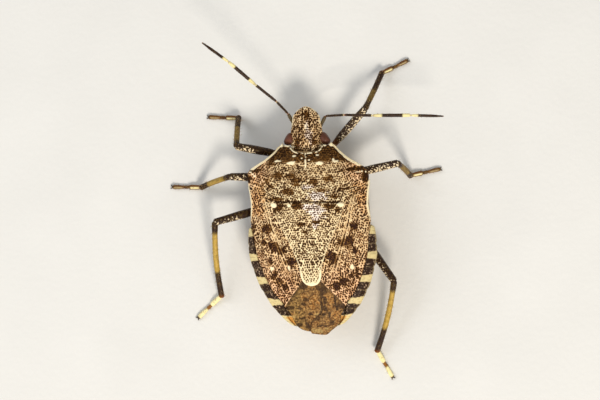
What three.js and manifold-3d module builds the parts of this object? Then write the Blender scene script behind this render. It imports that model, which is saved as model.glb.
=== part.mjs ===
// Adult brown shield bug, life size, standing on a flat floor with every leg and feeler spread.
// Millimetres, +Z up. The head points to -Y, the tail to +Y, and the insect's left side is +X.
// A station is a distance behind the tip of the head, along the body.

import * as THREE from "three";
import { mergeVertices } from "three/addons/utils/BufferGeometryUtils.js";
import Module from "manifold-3d";

const wasm = await Module();
wasm.setup();

// Sizes that the whole insect shares
const GAP = 0.28;
const PLATE = 0.5;
const BODY_ROLL = THREE.MathUtils.degToRad(7);
const ROLL_HEIGHT = 3.5;
// How far back a point lies for each millimetre to the left: the right side trails a little
const BODY_SKEW = -0.035;

// Heights of the back and belly, as [station, height]
const MIDLINE_HEIGHT = through([[2.6, 3.55], [4, 4.35], [5, 4.75], [6.65, 5], [7.5, 5], [9, 4.85],
  [11, 4.5], [12.4, 4.25], [14.5, 3.75], [16, 3.3]]);
const MARGIN_HEIGHT = through([[2.6, 3.1], [4.5, 3.65], [5.5, 3.55], [7, 3.45], [9, 3.35], [13.9, 3.25],
  [16, 3.1]]);
const KEEL_HEIGHT = through([[3.2, 1.85], [5, 1.65], [7.8, 1.2], [10, 0.9], [12, 1.1], [14, 1.85],
  [15.6, 2.6]]);
const ARCH_SQUARENESS = 2.2;
const ARCH_STEEPNESS = 0.62;

// Half widths, as [station, half width]
const BODY_HALF = through([[2.6, 1.8], [3.5, 2.87], [4.51, 4.21], [4.89, 4.27], [5.4, 4.27], [6.4, 4.24],
  [7.9, 4.29], [8.5, 4.41], [9.5, 4.5], [10.2, 4.48], [10.9, 4.35], [11.8, 4.08], [12.5, 3.84],
  [13.2, 3.46], [13.9, 3.06], [14.5, 2.54], [15.06, 2], [15.5, 1.32], [16, 0.42]]);
const PRONOTUM_HALF = through([[2.8, 2], [3.5, 2.82], [4.4, 4.14], [4.6, 4.25], [4.9, 4.27], [5.3, 4.2],
  [5.5, 4.02], [6.65, 2.42]]);
const SCUTELLUM_HALF = through([[6.9, 2.48], [10.26, 1], [11.2, 0.75], [11.9, 0.72], [12.2, 0.6],
  [12.4, 0.38], [12.46, 0.2]]);
const WING_HALF = through([[5.8, 4.18], [7, 4.14], [7.9, 4.22], [9.14, 4.04], [10.1, 3.92], [11.56, 3.48],
  [12.9, 2.87], [13.9, 2.17], [14.9, 1.8], [15.5, 1.2], [16, 0.1]]);

// Head
const HEAD_HALF = through([[0, 0.28], [0.1, 0.48], [0.35, 0.8], [0.83, 1], [1.3, 1.05], [1.4, 1.05],
  [1.5, 0.84], [2.7, 0.84], [2.78, 1], [2.93, 0.98]]);
const HEAD_TOP = through([[0, 2.66], [0.3, 2.82], [1, 3.08], [2, 3.38], [2.93, 3.58]]);
const HEAD_SIDE = through([[0, 2.55], [1, 2.78], [2, 2.95], [2.93, 3.05]]);
const HEAD_BOTTOM = through([[0, 2.3], [0.6, 2.05], [1.5, 1.92], [2.93, 1.9]]);
const HEAD_EDGE = 0.32;
const HEAD_ARCH = { squareness: 2.6, steepness: 0.6, belly: 2.2 };
const CHEEK_GROOVE = { place: 0.29, reach: 0.07, depth: 0.11, length: 1.55, fade: 0.5 };
const EYE = { x: 1.2, y: 2.18, z: 2.86, across: 0.46, along: 0.43, high: 0.44, inner: 1.12 };
const OCELLUS = { x: 0.52, y: 2.56, radius: 0.13, sunk: 0.03 };
const FEELER_ROOT = { x: 0.8, y: 1.5, z: 1.98 };
const FEELER_STUMP = { x: 0.6, y: 1.7, z: 2.4, radius: 0.28, knob: 0.25 };

// Pronotum
const FRONT_BAY = { deep: 3.22, shallow: 2.8, from: 0.47, to: 0.64 };
const PRONOTUM_BACK = 6.65;
const CALLUS = { x: 1.15, y: 3.85, wide: 0.85, long: 0.4, high: 0.09 };
const CROSS_DENT = { y: 4.5, reach: 0.35, depth: 0.06 };
const SIDE_RIM = { end: 5.2, reach: 0.12, lift: 0.07 };

// Scutellum and wings
const SCUTELLUM_FRONT = PRONOTUM_BACK + GAP;
const SCUTELLUM_NECK = 11.9;
const SCUTELLUM_BACK = 12.46;
const SCUTELLUM_RISE = 0.04;
const SCUTELLUM_BEND = { from: 8, to: 12, shift: 0.1 };
const WING_ROOT_INNER = 6.93;
const WING_ROOT_OUTER = 5.82;
const CORIUM_INNER_END = 12.3;
const CORIUM_TIP = 13.9;
const CLAVUS_GROOVE = { place: 0.3, reach: 0.09, depth: 0.07 };
const WING_VEIN = { place: 0.62, reach: 0.1, height: 0.06 };
const MEMBRANE_VEINS = [0.14, 0.34, 0.54, 0.74, 0.9];
const MEMBRANE_VEIN_REACH = 0.035;
const MEMBRANE_VEIN_HEIGHT = 0.09;
const LOWER_WING_DROP = 0.14;

// The left membrane lies on top, and the right one shows beyond its curved inner edge
const MEMBRANES = {
  left: {
    inner: [[0.1, 12.75], [-0.42, 13.25], [-0.62, 13.85], [-0.55, 14.35], [-0.15, 14.74], [0.5, 14.96],
      [1.2, 14.98]],
    outer: [[0.55, 12.6], [1.25, 13.34], [1.94, 14.12], [1.96, 14.35], [1.86, 14.6], [1.7, 14.78],
      [1.5, 14.92]],
    drop: 0,
  },
  right: {
    inner: [[-0.5, 12.92], [-0.95, 13.42], [-1, 13.9], [-0.88, 14.5], [-0.42, 15.04], [0.4, 15.28],
      [1.15, 15.28]],
    outer: [[-0.55, 12.6], [-1.25, 13.34], [-1.96, 14.12], [-1.92, 14.75], [-1.35, 15.5], [-0.1, 15.98],
      [1.1, 15.54]],
    drop: LOWER_WING_DROP,
  },
};

// Thorax and abdomen
const THORAX_FRONT = 3.25;
const WAIST = 8;
const ABDOMEN_BACK = 15.5;
const THORAX_INSET = 0.18;
const SHOULDER_ROOM = 0.24;
const SIDE_WALL = 0.3;
const NEST_ROOM = 0.34;
const CONNEXIVUM_RISE = 0.2;
const LEAST_CONNEXIVUM = 0.08;
const RIM_THICKNESS = 0.5;
const BELLY_ROUNDNESS = 2;
const BREAST_ROUNDNESS = 1.35;
const SEGMENT_BORDERS = [8.1, 9.75, 11.4, 12.9, 14.2, 15.5];
const BORDER_NOTCH = { depth: 0.07, reach: 0.2 };

// Legs: the roots are on the body, and the joints are points of the level floor frame
const LEGS = [
  leg("fore_left", [0.95, 3.8, 1.75], [1.55, 3.25, 1.3], [4.88, 2.45, 2.9], [4.65, 0.43, 0.5], [6.91, 0.23]),
  leg("fore_right", [-0.95, 3.8, 1.75], [-1.6, 3.05, 1.45], [-4.25, 0.34, 2.1], [-5.6, -2.14, 0.5],
    [-7.63, -3]),
  leg("mid_left", [1.3, 5.3, 1.65], [1.75, 4.82, 1.05], [5.45, 4.54, 2.45], [7.51, 5.16, 0.5], [9.74, 5.01]),
  leg("mid_right", [-1.3, 5.3, 1.65], [-2.15, 5, 1.4], [-6.29, 4.28, 3.5], [-7.19, 5.18, 0.5], [-9.51, 4.82]),
  leg("hind_left", [1.45, 7.1, 1.45], [2, 6.62, 1.05], [6.7, 7.67, 2.5], [6.56, 12.85, 0.5], [8.44, 14.46]),
  leg("hind_right", [-1.45, 7.1, 1.45], [-2.5, 7.55, 1.25], [-5.59, 12.5, 2.5], [-4.17, 17.34, 0.5],
    [-5.24, 19.49]),
];
const COXA = { root: 0.38, middle: 0.36, knob: 0.27 };
const FEMUR = { start: 0.26, waist: 0.25, thick: 0.34, knob: 0.26 };
const TIBIA = { start: 0.25, thin: 0.24, knob: 0.25 };
const TARSUS = { start: 0.25, thin: 0.2, thick: 0.26, height: 0.15 };
const CLAW = { length: 0.42, radius: 0.1, tip: 0.04, splay: 0.55, overlap: 0.08, raised: 0.04 };

// A limb starts with a bevel, and two rings close its knob, as shares of the knob's length and radius
const LIMB_BEVEL = { length: 0.06, radius: 0.8 };
const KNOB_RINGS = [[0.55, 0.83], [0.95, 0.3]];
const LIMB_SIDES = 8;
const TARSUS_SIDES = 10;
const CLAW_SIDES = 6;

// Feelers: joints in the level floor frame, from the end of the first segment to the tip
const FEELERS = {
  left: [[1.15, 0.36, 2.3], [1.91, -0.52, 2.95], [3.31, -1.76, 3.65], [5.07, -3.43, 4.6],
    [6.85, -4.88, 4.5]],
  right: [[-1.46, 0.68, 2.45], [-2.75, 0.69, 3.1], [-4.74, 0.85, 3.35], [-7.42, 0.99, 3.45],
    [-9.72, 1.19, 3.3]],
};
const FEELER = { start: 0.22, middle: 0.25, knob: 0.25, tip: 0.12 };
const CHAIN_KNOB = 0.45;

// Beak under the head and breast, in the body's frame
const BEAK_JOINTS = [[0, 0.75, 1.48], [0, 2.35, 1.27], [0, 4.2, 1.08], [0, 5.5, 0.98], [0, 6.7, 0.88]];
const BEAK = { start: 0.24, middle: 0.25, knob: 0.24, tip: 0.1 };
const BEAK_SOCKET = { radius: 0.3, taper: 0.85, sunk: 0.2, bottom: 1.98 };

const COLOURS = {
  head: 0x6f5846, eye: 0x55302a, pronotum: 0x8b7356, scutellum: 0xa08d68, corium: 0x8f6f5c,
  membrane: 0x80602f, thorax: 0xa88f69, abdomen: 0xb39a70, coxa: 0xae946b, femur: 0x5c4738, tibia: 0x8f724d,
  tarsus: 0xb9a073, feeler: 0x432f25, feelerPale: 0x76563b, beak: 0x9a7f5a, beakTip: 0x2c1f19,
};

const OUTWARD = new THREE.Vector3(0, 1, 0);

/** A smooth curve through [place, value] pairs that never overshoots them. */
function through(pairs) {
  const last = pairs.length - 1;
  const rise = (i) => (pairs[i + 1][1] - pairs[i][1]) / (pairs[i + 1][0] - pairs[i][0]);
  const slope = (i) => {
    if (i === 0 || i === last) return rise(Math.min(i, last - 1));
    const before = rise(i - 1);
    const after = rise(i);
    return before * after <= 0 ? 0 : (2 * before * after) / (before + after);
  };
  const slopes = pairs.map((pair, i) => slope(i));
  return (place) => {
    const held = THREE.MathUtils.clamp(place, pairs[0][0], pairs[last][0]);
    let i = 0;
    while (i < last - 1 && held > pairs[i + 1][0]) i += 1;
    const width = pairs[i + 1][0] - pairs[i][0];
    const t = (held - pairs[i][0]) / width;
    const blend = t * t * (3 - 2 * t);
    const bend = t * (1 - t) * width * (slopes[i] * (1 - t) - slopes[i + 1] * t);
    return pairs[i][1] * (1 - blend) + pairs[i + 1][1] * blend + bend;
  };
}

/** A rounded bump of height 1 at zero that ends at one. */
function bump(distance) {
  const near = Math.max(0, 1 - distance * distance);
  return near * near;
}

/** Evenly spaced values, both ends included. */
function spread(from, to, count) {
  return Array.from({ length: count + 1 }, (_, i) => from + ((to - from) * i) / count);
}

/** The same positive values on both sides of zero. */
function bothSides(values) {
  return [...values.toReversed().map((value) => -value), 0, ...values];
}

/** The named record of one leg. */
function leg(name, root, hip, knee, ankle, toe) {
  return { name, root, hip, knee, ankle, toe };
}

/** Height of the back, arched from one margin to the other. */
function backHeight(x, y) {
  const reach = Math.min(Math.abs(x) / BODY_HALF(y), 1);
  const arch = (1 - reach ** ARCH_SQUARENESS) ** ARCH_STEEPNESS;
  return MARGIN_HEIGHT(y) + (MIDLINE_HEIGHT(y) - MARGIN_HEIGHT(y)) * arch;
}

/** How far the middle of the scutellum strays from the body's middle plane towards its tip. */
function scutellumMiddle(y) {
  return SCUTELLUM_BEND.shift * THREE.MathUtils.smoothstep(y, SCUTELLUM_BEND.from, SCUTELLUM_BEND.to);
}

/** Moves every vertex of a geometry to its place and returns one closed, outward-facing skin. */
function mould(geometry, place) {
  const copy = geometry.index ? geometry.clone() : mergeVertices(geometry);
  copy.deleteAttribute("normal");
  copy.deleteAttribute("uv");
  const position = copy.getAttribute("position");
  const point = new THREE.Vector3();
  for (let i = 0; i < position.count; i += 1) {
    place(point.fromBufferAttribute(position, i));
    position.setXYZ(i, point.x, point.y, point.z);
  }
  const merged = mergeVertices(copy, 1e-3);
  const corners = Array.from(merged.index.array);
  const kept = [];
  for (let i = 0; i < corners.length; i += 3) {
    const [a, b, c] = corners.slice(i, i + 3);
    if (a !== b && b !== c && a !== c) kept.push(a, b, c);
  }
  merged.setIndex(kept);
  if (volume(merged) < 0) merged.setIndex(kept.toReversed());
  return merged;
}

/** Signed volume inside an indexed skin. */
function volume(geometry) {
  const position = geometry.getAttribute("position");
  const corner = [new THREE.Vector3(), new THREE.Vector3(), new THREE.Vector3()];
  let total = 0;
  for (let i = 0; i < geometry.index.count; i += 3) {
    corner.forEach((vector, j) => vector.fromBufferAttribute(position, geometry.index.getX(i + j)));
    total += corner[0].dot(corner[1].cross(corner[2])) / 6;
  }
  return total;
}

/** The geometry as a solid that can be joined and cut. */
function solid(geometry) {
  const vertProperties = new Float32Array(geometry.getAttribute("position").array);
  const triVerts = new Uint32Array(geometry.index.array);
  return new wasm.Manifold(new wasm.Mesh({ numProp: 3, vertProperties, triVerts }));
}

/** The largest closed piece of a solid, as a geometry. */
function skin(body) {
  const largest = body.decompose().reduce((a, b) => (a.volume() > b.volume() ? a : b));
  const mesh = largest.getMesh();
  const geometry = new THREE.BufferGeometry();
  geometry.setAttribute("position", new THREE.BufferAttribute(mesh.vertProperties, 3));
  geometry.setIndex(new THREE.BufferAttribute(mesh.triVerts, 1));
  return mould(geometry, (point) => point);
}

/** A closed plate over a grid: plan gives [x, y] for a column and row, and the faces give its heights. */
function plate(columns, rows, plan, upper, lower) {
  const box = new THREE.BoxGeometry(1, 1, 1, columns.length - 1, rows.length - 1, 1);
  return mould(box, (point) => {
    const u = columns[Math.round((point.x + 0.5) * (columns.length - 1))];
    const v = rows[Math.round((point.y + 0.5) * (rows.length - 1))];
    const [x, y] = plan(u, v);
    const face = point.z > 0 ? upper : lower;
    point.set(x, y, face(x, y, u, v));
  });
}

/** A round limb from start to end: rings are [distance from start, radius], and the ends are closed. */
function lathed(start, end, rings, sides) {
  const direction = end.clone().sub(start).normalize();
  const turn = new THREE.Quaternion().setFromUnitVectors(OUTWARD, direction);
  const first = new THREE.Vector2(0, rings[0][0]);
  const last = new THREE.Vector2(0, rings.at(-1)[0]);
  const profile = [first, ...rings.map(([distance, radius]) => new THREE.Vector2(radius, distance)), last];
  return mould(new THREE.LatheGeometry(profile, sides), (point) => point.applyQuaternion(turn).add(start));
}

/** One limb segment: it starts clear of the joint behind it and ends in a round knob on the joint ahead. */
function limbSegment(from, to, clear, shape, knob, grow = 0, knobLength = knob) {
  const start = from.clone().lerp(to, clear / from.distanceTo(to));
  const length = start.distanceTo(to);
  const bevel = Math.min(LIMB_BEVEL.length, length / 10);
  const rings = [[-grow, (shape[0][1] + grow) * LIMB_BEVEL.radius]];
  shape.forEach(([share, radius]) => rings.push([bevel + share * (length - bevel), radius + grow]));
  for (const [share, radius] of KNOB_RINGS) {
    rings.push([length + (knobLength + grow) * share, (knob + grow) * radius]);
  }
  return lathed(start, to, rings, LIMB_SIDES);
}

/** Sets a point of the body back by its distance to the right. */
function skew(point) {
  point.y += BODY_SKEW * point.x;
}

/** A point of the body's own frame, in the level frame of the floor. */
function fromBody([x, y, z]) {
  const point = new THREE.Vector3(x, y + BODY_SKEW * x, z - ROLL_HEIGHT);
  return point.applyAxisAngle(OUTWARD, BODY_ROLL).add(new THREE.Vector3(0, 0, ROLL_HEIGHT));
}

/** A point of the level frame, in the body's own frame. */
function toBody(point) {
  const turned = point.clone().setZ(point.z - ROLL_HEIGHT).applyAxisAngle(OUTWARD, -BODY_ROLL);
  turned.y -= BODY_SKEW * turned.x;
  return turned.add(new THREE.Vector3(0, 0, ROLL_HEIGHT));
}

const insect = new THREE.Group();
const body = new THREE.Group();
const limbs = new THREE.Group();

/** Adds one named piece of the head, plates or trunk, skewed as the whole body is. */
function addToBody(name, geometry, color, roughness) {
  add(body, name, mould(geometry, skew), color, roughness);
}

/** Adds one named piece to a group. */
function add(group, name, geometry, color, roughness) {
  geometry.computeVertexNormals();
  const mesh = new THREE.Mesh(geometry, new THREE.MeshStandardMaterial({ color, roughness, metalness: 0 }));
  mesh.name = name;
  group.add(mesh);
}

/** Upper face of the head, with the grooves between its middle lobe and the cheek plates. */
function headUpper(x, y, u) {
  const arch = (1 - Math.min(Math.abs(u), 1) ** HEAD_ARCH.squareness) ** HEAD_ARCH.steepness;
  const fade = THREE.MathUtils.clamp((CHEEK_GROOVE.length - y) / CHEEK_GROOVE.fade, 0, 1);
  const groove = bump((Math.abs(u) - CHEEK_GROOVE.place) / CHEEK_GROOVE.reach) * CHEEK_GROOVE.depth * fade;
  return HEAD_SIDE(y) + (HEAD_TOP(y) - HEAD_SIDE(y)) * arch - groove;
}

function headLower(x, y, u) {
  const side = HEAD_SIDE(y) - HEAD_EDGE;
  return HEAD_BOTTOM(y) + (side - HEAD_BOTTOM(y)) * Math.abs(u) ** HEAD_ARCH.belly;
}

function makeHead() {
  const groove = [-1, 0, 1].map((side) => CHEEK_GROOVE.place + side * CHEEK_GROOVE.reach);
  const columns = bothSides([0.14, ...groove, 0.52, 0.7, 0.86, 1]);
  const rows = [0, 0.1, 0.22, 0.38, 0.62, 0.9, 1.2, 1.4, 1.5, 1.9, 2.3, 2.7, 2.78, 2.93];
  const shell = plate(columns, rows, (u, v) => [u * HEAD_HALF(v), v], headUpper, headLower);
  let head = solid(shell);
  for (const side of [1, -1]) {
    const dome = new THREE.SphereGeometry(OCELLUS.radius, 8, 6);
    const top = headUpper(0, OCELLUS.y, OCELLUS.x / HEAD_HALF(OCELLUS.y)) - OCELLUS.sunk;
    const centre = new THREE.Vector3(side * OCELLUS.x, OCELLUS.y, top);
    head = head.add(solid(mould(dome, (point) => point.add(centre))));
    head = head.subtract(solid(feelerRoom(side))).add(solid(feelerStump(side)));
  }
  const throat = new THREE.Vector3(0, BEAK_JOINTS[0][1], HEAD_BOTTOM(BEAK_JOINTS[0][1]) + BEAK_SOCKET.sunk);
  const end = throat.clone().setZ(BEAK_SOCKET.bottom);
  const rings = [[0, BEAK_SOCKET.radius], [throat.z - end.z, BEAK_SOCKET.radius * BEAK_SOCKET.taper]];
  return skin(head.add(solid(lathed(throat, end, rings, LIMB_SIDES))));
}

/** The short stump under the cheek that carries a feeler. */
function feelerStump(side) {
  const start = new THREE.Vector3(side * FEELER_STUMP.x, FEELER_STUMP.y, FEELER_STUMP.z);
  const root = new THREE.Vector3(side * FEELER_ROOT.x, FEELER_ROOT.y, FEELER_ROOT.z);
  return limbSegment(start, root, 0, [[0, FEELER_STUMP.radius], [1, FEELER_STUMP.knob]], FEELER_STUMP.knob);
}

/** The joints of one feeler in the level frame, its root first. */
function feelerJoints(side) {
  const root = fromBody([side * FEELER_ROOT.x, FEELER_ROOT.y, FEELER_ROOT.z]);
  return [root, ...FEELERS[side > 0 ? "left" : "right"].map((joint) => new THREE.Vector3(...joint))];
}

/** Room for the first segment of a feeler, in the body's frame. */
function feelerRoom(side) {
  const [root, first] = feelerJoints(side);
  const shape = [[0, FEELER.start], [0.3, FEELER.middle], [1, FEELER.knob]];
  const room = limbSegment(root, first, FEELER_STUMP.knob + GAP, shape, FEELER.knob, GAP);
  return mould(room, (point) => point.copy(toBody(point)));
}

/** An eye: a round bulge whose inner side is cut flat, clear of the side of the head. */
function makeEye(side) {
  return mould(new THREE.SphereGeometry(1, 14, 10), (point) => {
    const x = Math.max(EYE.x + point.x * EYE.across, EYE.inner);
    point.set(side * x, EYE.y + point.y * EYE.along, EYE.z + point.z * EYE.high);
  });
}

function pronotumFront(u) {
  const share = THREE.MathUtils.smoothstep(Math.abs(u), FRONT_BAY.from, FRONT_BAY.to);
  return FRONT_BAY.deep + (FRONT_BAY.shallow - FRONT_BAY.deep) * share;
}

function pronotumUpper(x, y, u) {
  const fromCallus = Math.hypot((Math.abs(x) - CALLUS.x) / CALLUS.wide, (y - CALLUS.y) / CALLUS.long);
  const callus = bump(fromCallus) * CALLUS.high;
  const dent = bump((y - CROSS_DENT.y) / CROSS_DENT.reach) * CROSS_DENT.depth * (1 - u * u);
  const rim = y < SIDE_RIM.end ? bump((1 - Math.abs(u)) / SIDE_RIM.reach) * SIDE_RIM.lift : 0;
  return backHeight(x, y) + callus - dent + rim;
}

function makePronotum() {
  const columns = bothSides([0.16, 0.32, FRONT_BAY.from, 0.55, FRONT_BAY.to, 0.76, 0.87, 0.95, 1]);
  const rows = [0, 0.1, 0.2, 0.3, 0.4, 0.47, 0.54, 0.62, 0.72, 0.86, 1];
  const plan = (u, v) => {
    const y = pronotumFront(u) + (PRONOTUM_BACK - pronotumFront(u)) * v;
    return [u * PRONOTUM_HALF(y), y];
  };
  return plate(columns, rows, plan, pronotumUpper, (x, y) => backHeight(x, y) - PLATE);
}

function makeScutellum() {
  const columns = bothSides([0.25, 0.5, 0.72, 0.88, 1]);
  const rows = [...spread(SCUTELLUM_FRONT, SCUTELLUM_NECK, 9), 12.15, 12.32, 12.42, SCUTELLUM_BACK];
  const plan = (u, v) => [u * SCUTELLUM_HALF(v) + scutellumMiddle(v), v];
  const upper = (x, y) => backHeight(x, y) + SCUTELLUM_RISE;
  return plate(columns, rows, plan, upper, (x, y) => backHeight(x, y) - PLATE);
}

/** The stiff part of a forewing, from the clavus beside the scutellum out to the costal edge. */
function makeCorium(side) {
  const columns = [0, 0.12, 0.21, CLAVUS_GROOVE.place, 0.39, 0.52, WING_VEIN.place, 0.72, 0.86, 1];
  const plan = (u, v) => {
    const inner = WING_ROOT_INNER + (CORIUM_INNER_END - WING_ROOT_INNER) * v;
    const outer = WING_ROOT_OUTER + (CORIUM_TIP - WING_ROOT_OUTER) * v;
    const near = side * (SCUTELLUM_HALF(inner) + GAP) + scutellumMiddle(inner);
    return [near * (1 - u) + side * WING_HALF(outer) * u, inner * (1 - u) + outer * u];
  };
  const upper = (x, y, u, v) => {
    const groove = bump((u - CLAVUS_GROOVE.place) / CLAVUS_GROOVE.reach) * CLAVUS_GROOVE.depth;
    const vein = bump((u - WING_VEIN.place) / WING_VEIN.reach) * WING_VEIN.height * (1 - v);
    return backHeight(x, y) - groove + vein;
  };
  return plate(columns, spread(0, 1, 14), plan, upper, (x, y) => backHeight(x, y) - PLATE);
}

/** A wing membrane between its inner and outer edge, with its long veins raised in its surface. */
function makeMembrane(edges, drop) {
  const [inner, outer] = [edges.inner, edges.outer].map((edge) => {
    return new THREE.SplineCurve(edge.map(([x, y]) => new THREE.Vector2(x, y)));
  });
  const reach = MEMBRANE_VEIN_REACH;
  const columns = [0, ...MEMBRANE_VEINS.flatMap((vein) => [vein - reach, vein, vein + reach]), 1];
  const plan = (u, v) => inner.getPoint(v).lerp(outer.getPoint(v), u).toArray();
  const upper = (x, y, u) => {
    const vein = MEMBRANE_VEINS.includes(u) ? MEMBRANE_VEIN_HEIGHT : 0;
    return backHeight(x, y) - drop + vein;
  };
  return plate(columns, spread(0, 1, 9), plan, upper, (x, y) => backHeight(x, y) - drop - PLATE);
}

/** Underside of the breast and belly, from the keel up to the side. */
function bellyHeight(reach, y, side, roundness) {
  return KEEL_HEIGHT(y) + (side - KEEL_HEIGHT(y)) * Math.min(reach, 1) ** roundness;
}

function makeThorax() {
  const columns = bothSides([0.15, 0.3, 0.45, 0.6, 0.75, 0.9, 1]);
  const rows = spread(THORAX_FRONT, WAIST - GAP / 2, 11);
  const plan = (u, v) => [u * (BODY_HALF(v) - THORAX_INSET), v];
  const upper = (x, y, u) => backHeight(x, y) - PLATE - GAP - SHOULDER_ROOM * u ** 4;
  const lower = (x, y, u) => {
    const side = MARGIN_HEIGHT(y) - PLATE - GAP - SHOULDER_ROOM - SIDE_WALL;
    return bellyHeight(Math.abs(u), y, side, BREAST_ROUNDNESS);
  };
  return skin(clearOfLegs(solid(plate(columns, rows, plan, upper, lower))));
}

/** How far the edge of the abdomen dips in at the borders of its segments. */
function borderNotch(y) {
  const nearness = SEGMENT_BORDERS.map((border) => bump((y - border) / BORDER_NOTCH.reach));
  return Math.max(...nearness) * BORDER_NOTCH.depth;
}

function abdomenRows() {
  const { reach } = BORDER_NOTCH;
  const rows = SEGMENT_BORDERS.slice(1, -1).flatMap((border) => [border - reach, border, border + reach]);
  const between = [WAIST + GAP / 2, 8.6, 9.1, 10.5, 12.15, 13.5, 14.65, 14.95, 15.2, 15.38, ABDOMEN_BACK];
  return [...rows, ...between].sort((a, b) => a - b);
}

function makeAbdomen() {
  const columns = bothSides([0.3, 0.6, 0.85, 1, 1.02, 1.5, 2]);
  const edge = (y) => BODY_HALF(y) - borderNotch(y);
  const nest = (y) => Math.min(WING_HALF(y) + NEST_ROOM, edge(y) - LEAST_CONNEXIVUM);
  const plan = (u, v) => {
    const inside = Math.min(Math.abs(u), 1) * nest(v);
    const outside = Math.max(Math.abs(u) - 1, 0) * (edge(v) - nest(v));
    return [Math.sign(u) * (inside + outside), v];
  };
  const upper = (x, y, u) => {
    const drop = LOWER_WING_DROP * THREE.MathUtils.smoothstep(y, CORIUM_INNER_END - 1, CORIUM_INNER_END);
    const shoulder = (SHOULDER_ROOM / 2) * Math.min(Math.abs(u), 1) ** 4;
    const underWing = backHeight(x, y) - PLATE - GAP - drop - shoulder;
    const room = THREE.MathUtils.smoothstep(edge(y) - WING_HALF(y), GAP, GAP + CONNEXIVUM_RISE);
    return Math.abs(u) > 1 ? underWing + (backHeight(x, y) - underWing) * room : underWing;
  };
  const lower = (x, y) => {
    const side = MARGIN_HEIGHT(y) - RIM_THICKNESS;
    return Math.min(bellyHeight(Math.abs(x) / edge(y), y, side, BELLY_ROUNDNESS), upper(x, y, 0) - PLATE);
  };
  return skin(clearOfLegs(solid(plate(columns, abdomenRows(), plan, upper, lower))));
}

function coxaSkin(one, grow) {
  const root = fromBody(one.root);
  const shape = [[0, COXA.root], [0.5, COXA.middle], [1, COXA.knob]];
  return limbSegment(root, new THREE.Vector3(...one.hip), 0, shape, COXA.knob, grow);
}

/** The trochanter and femur, up to the knee. */
function femurSkin(one, grow) {
  const hip = new THREE.Vector3(...one.hip);
  const shape = [[0, FEMUR.start], [0.07, FEMUR.waist], [0.13, FEMUR.waist], [0.3, FEMUR.thick],
    [0.6, FEMUR.thick], [0.9, FEMUR.knob], [1, FEMUR.knob]];
  return limbSegment(hip, new THREE.Vector3(...one.knee), COXA.knob + GAP, shape, FEMUR.knob, grow);
}

/** Cuts room for the coxae and femora out of a part of the trunk. */
function clearOfLegs(part) {
  return LEGS.reduce((left, one) => {
    const room = [coxaSkin(one, GAP), femurSkin(one, GAP)].map((geometry) => {
      return solid(mould(geometry, (point) => point.copy(toBody(point))));
    });
    return left.subtract(room[0]).subtract(room[1]);
  }, part);
}

function tibiaSkin(one) {
  const shape = [[0, TIBIA.start], [0.15, TIBIA.thin], [0.85, TIBIA.thin], [1, TIBIA.knob]];
  const knee = new THREE.Vector3(...one.knee);
  return limbSegment(knee, new THREE.Vector3(...one.ankle), FEMUR.knob + GAP, shape, TIBIA.knob);
}

/** A foot of three joints and two claws, flattened where it lies on the floor. */
function tarsusSkin(one) {
  const ankle = new THREE.Vector3(one.ankle[0], one.ankle[1], TARSUS.height);
  const toe = new THREE.Vector3(one.toe[0], one.toe[1], TARSUS.height);
  const start = ankle.clone().lerp(toe, (TIBIA.knob + GAP) / ankle.distanceTo(toe));
  const length = start.distanceTo(toe) - CLAW.length * 0.6;
  const shape = [[0, TARSUS.thin], [0.06, TARSUS.start], [0.4, TARSUS.start], [0.45, TARSUS.thin],
    [0.6, TARSUS.start], [0.65, TARSUS.thin], [0.82, TARSUS.thick], [1, TARSUS.thin * 0.6]];
  const rings = shape.map(([share, radius]) => [share * length, radius]);
  const onFloor = (geometry) => mould(geometry, (point) => point.setZ(Math.max(point.z, 0)));
  let foot = solid(onFloor(lathed(start, toe, rings, TARSUS_SIDES)));
  const forward = toe.clone().sub(start).normalize();
  const tip = start.clone().addScaledVector(forward, length - CLAW.overlap);
  for (const turn of [CLAW.splay, -CLAW.splay]) {
    const aim = forward.clone().applyAxisAngle(new THREE.Vector3(0, 0, 1), turn);
    const root = tip.clone().setZ(TARSUS.height + CLAW.raised);
    const end = root.clone().addScaledVector(aim, CLAW.length).setZ(CLAW.tip);
    const reach = root.distanceTo(end);
    const claw = [[0, CLAW.radius], [reach * 0.6, CLAW.radius * 0.9], [reach, CLAW.tip]];
    foot = foot.add(solid(onFloor(lathed(root, end, claw, CLAW_SIDES))));
  }
  return skin(foot);
}

/** Adds a feeler or the beak: a row of segments that taper to a tip. */
function addChain(group, prefix, joints, size, firstClear, colour) {
  joints.slice(1).forEach((to, i) => {
    const last = i === joints.length - 2;
    const clear = i === 0 ? firstClear : size.knob * CHAIN_KNOB + GAP;
    const shape = last
      ? [[0, size.start], [0.25, size.middle], [0.6, size.middle * 0.9], [1, size.tip * 1.5]]
      : [[0, size.start], [0.3, size.middle], [1, size.knob]];
    const knob = last ? size.tip : size.knob;
    const geometry = limbSegment(joints[i], to, clear, shape, knob, 0, knob * CHAIN_KNOB);
    add(group, `${prefix}_${i + 1}`, geometry, colour(i), 0.55);
  });
}

addToBody("head", makeHead(), COLOURS.head, 0.7);
addToBody("pronotum", makePronotum(), COLOURS.pronotum, 0.6);
addToBody("scutellum", makeScutellum(), COLOURS.scutellum, 0.6);
for (const [side, name] of [[1, "left"], [-1, "right"]]) {
  addToBody(`eye_${name}`, makeEye(side), COLOURS.eye, 0.3);
  addToBody(`corium_${name}`, makeCorium(side), COLOURS.corium, 0.6);
  addToBody(`membrane_${name}`, makeMembrane(MEMBRANES[name], MEMBRANES[name].drop), COLOURS.membrane, 0.4);
}
addToBody("thorax", makeThorax(), COLOURS.thorax, 0.6);
addToBody("abdomen", makeAbdomen(), COLOURS.abdomen, 0.6);
const beakJoints = BEAK_JOINTS.map((joint) => new THREE.Vector3(...joint));
addChain(body, "beak", beakJoints, BEAK, 0, (i) => (i === 3 ? COLOURS.beakTip : COLOURS.beak));

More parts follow.
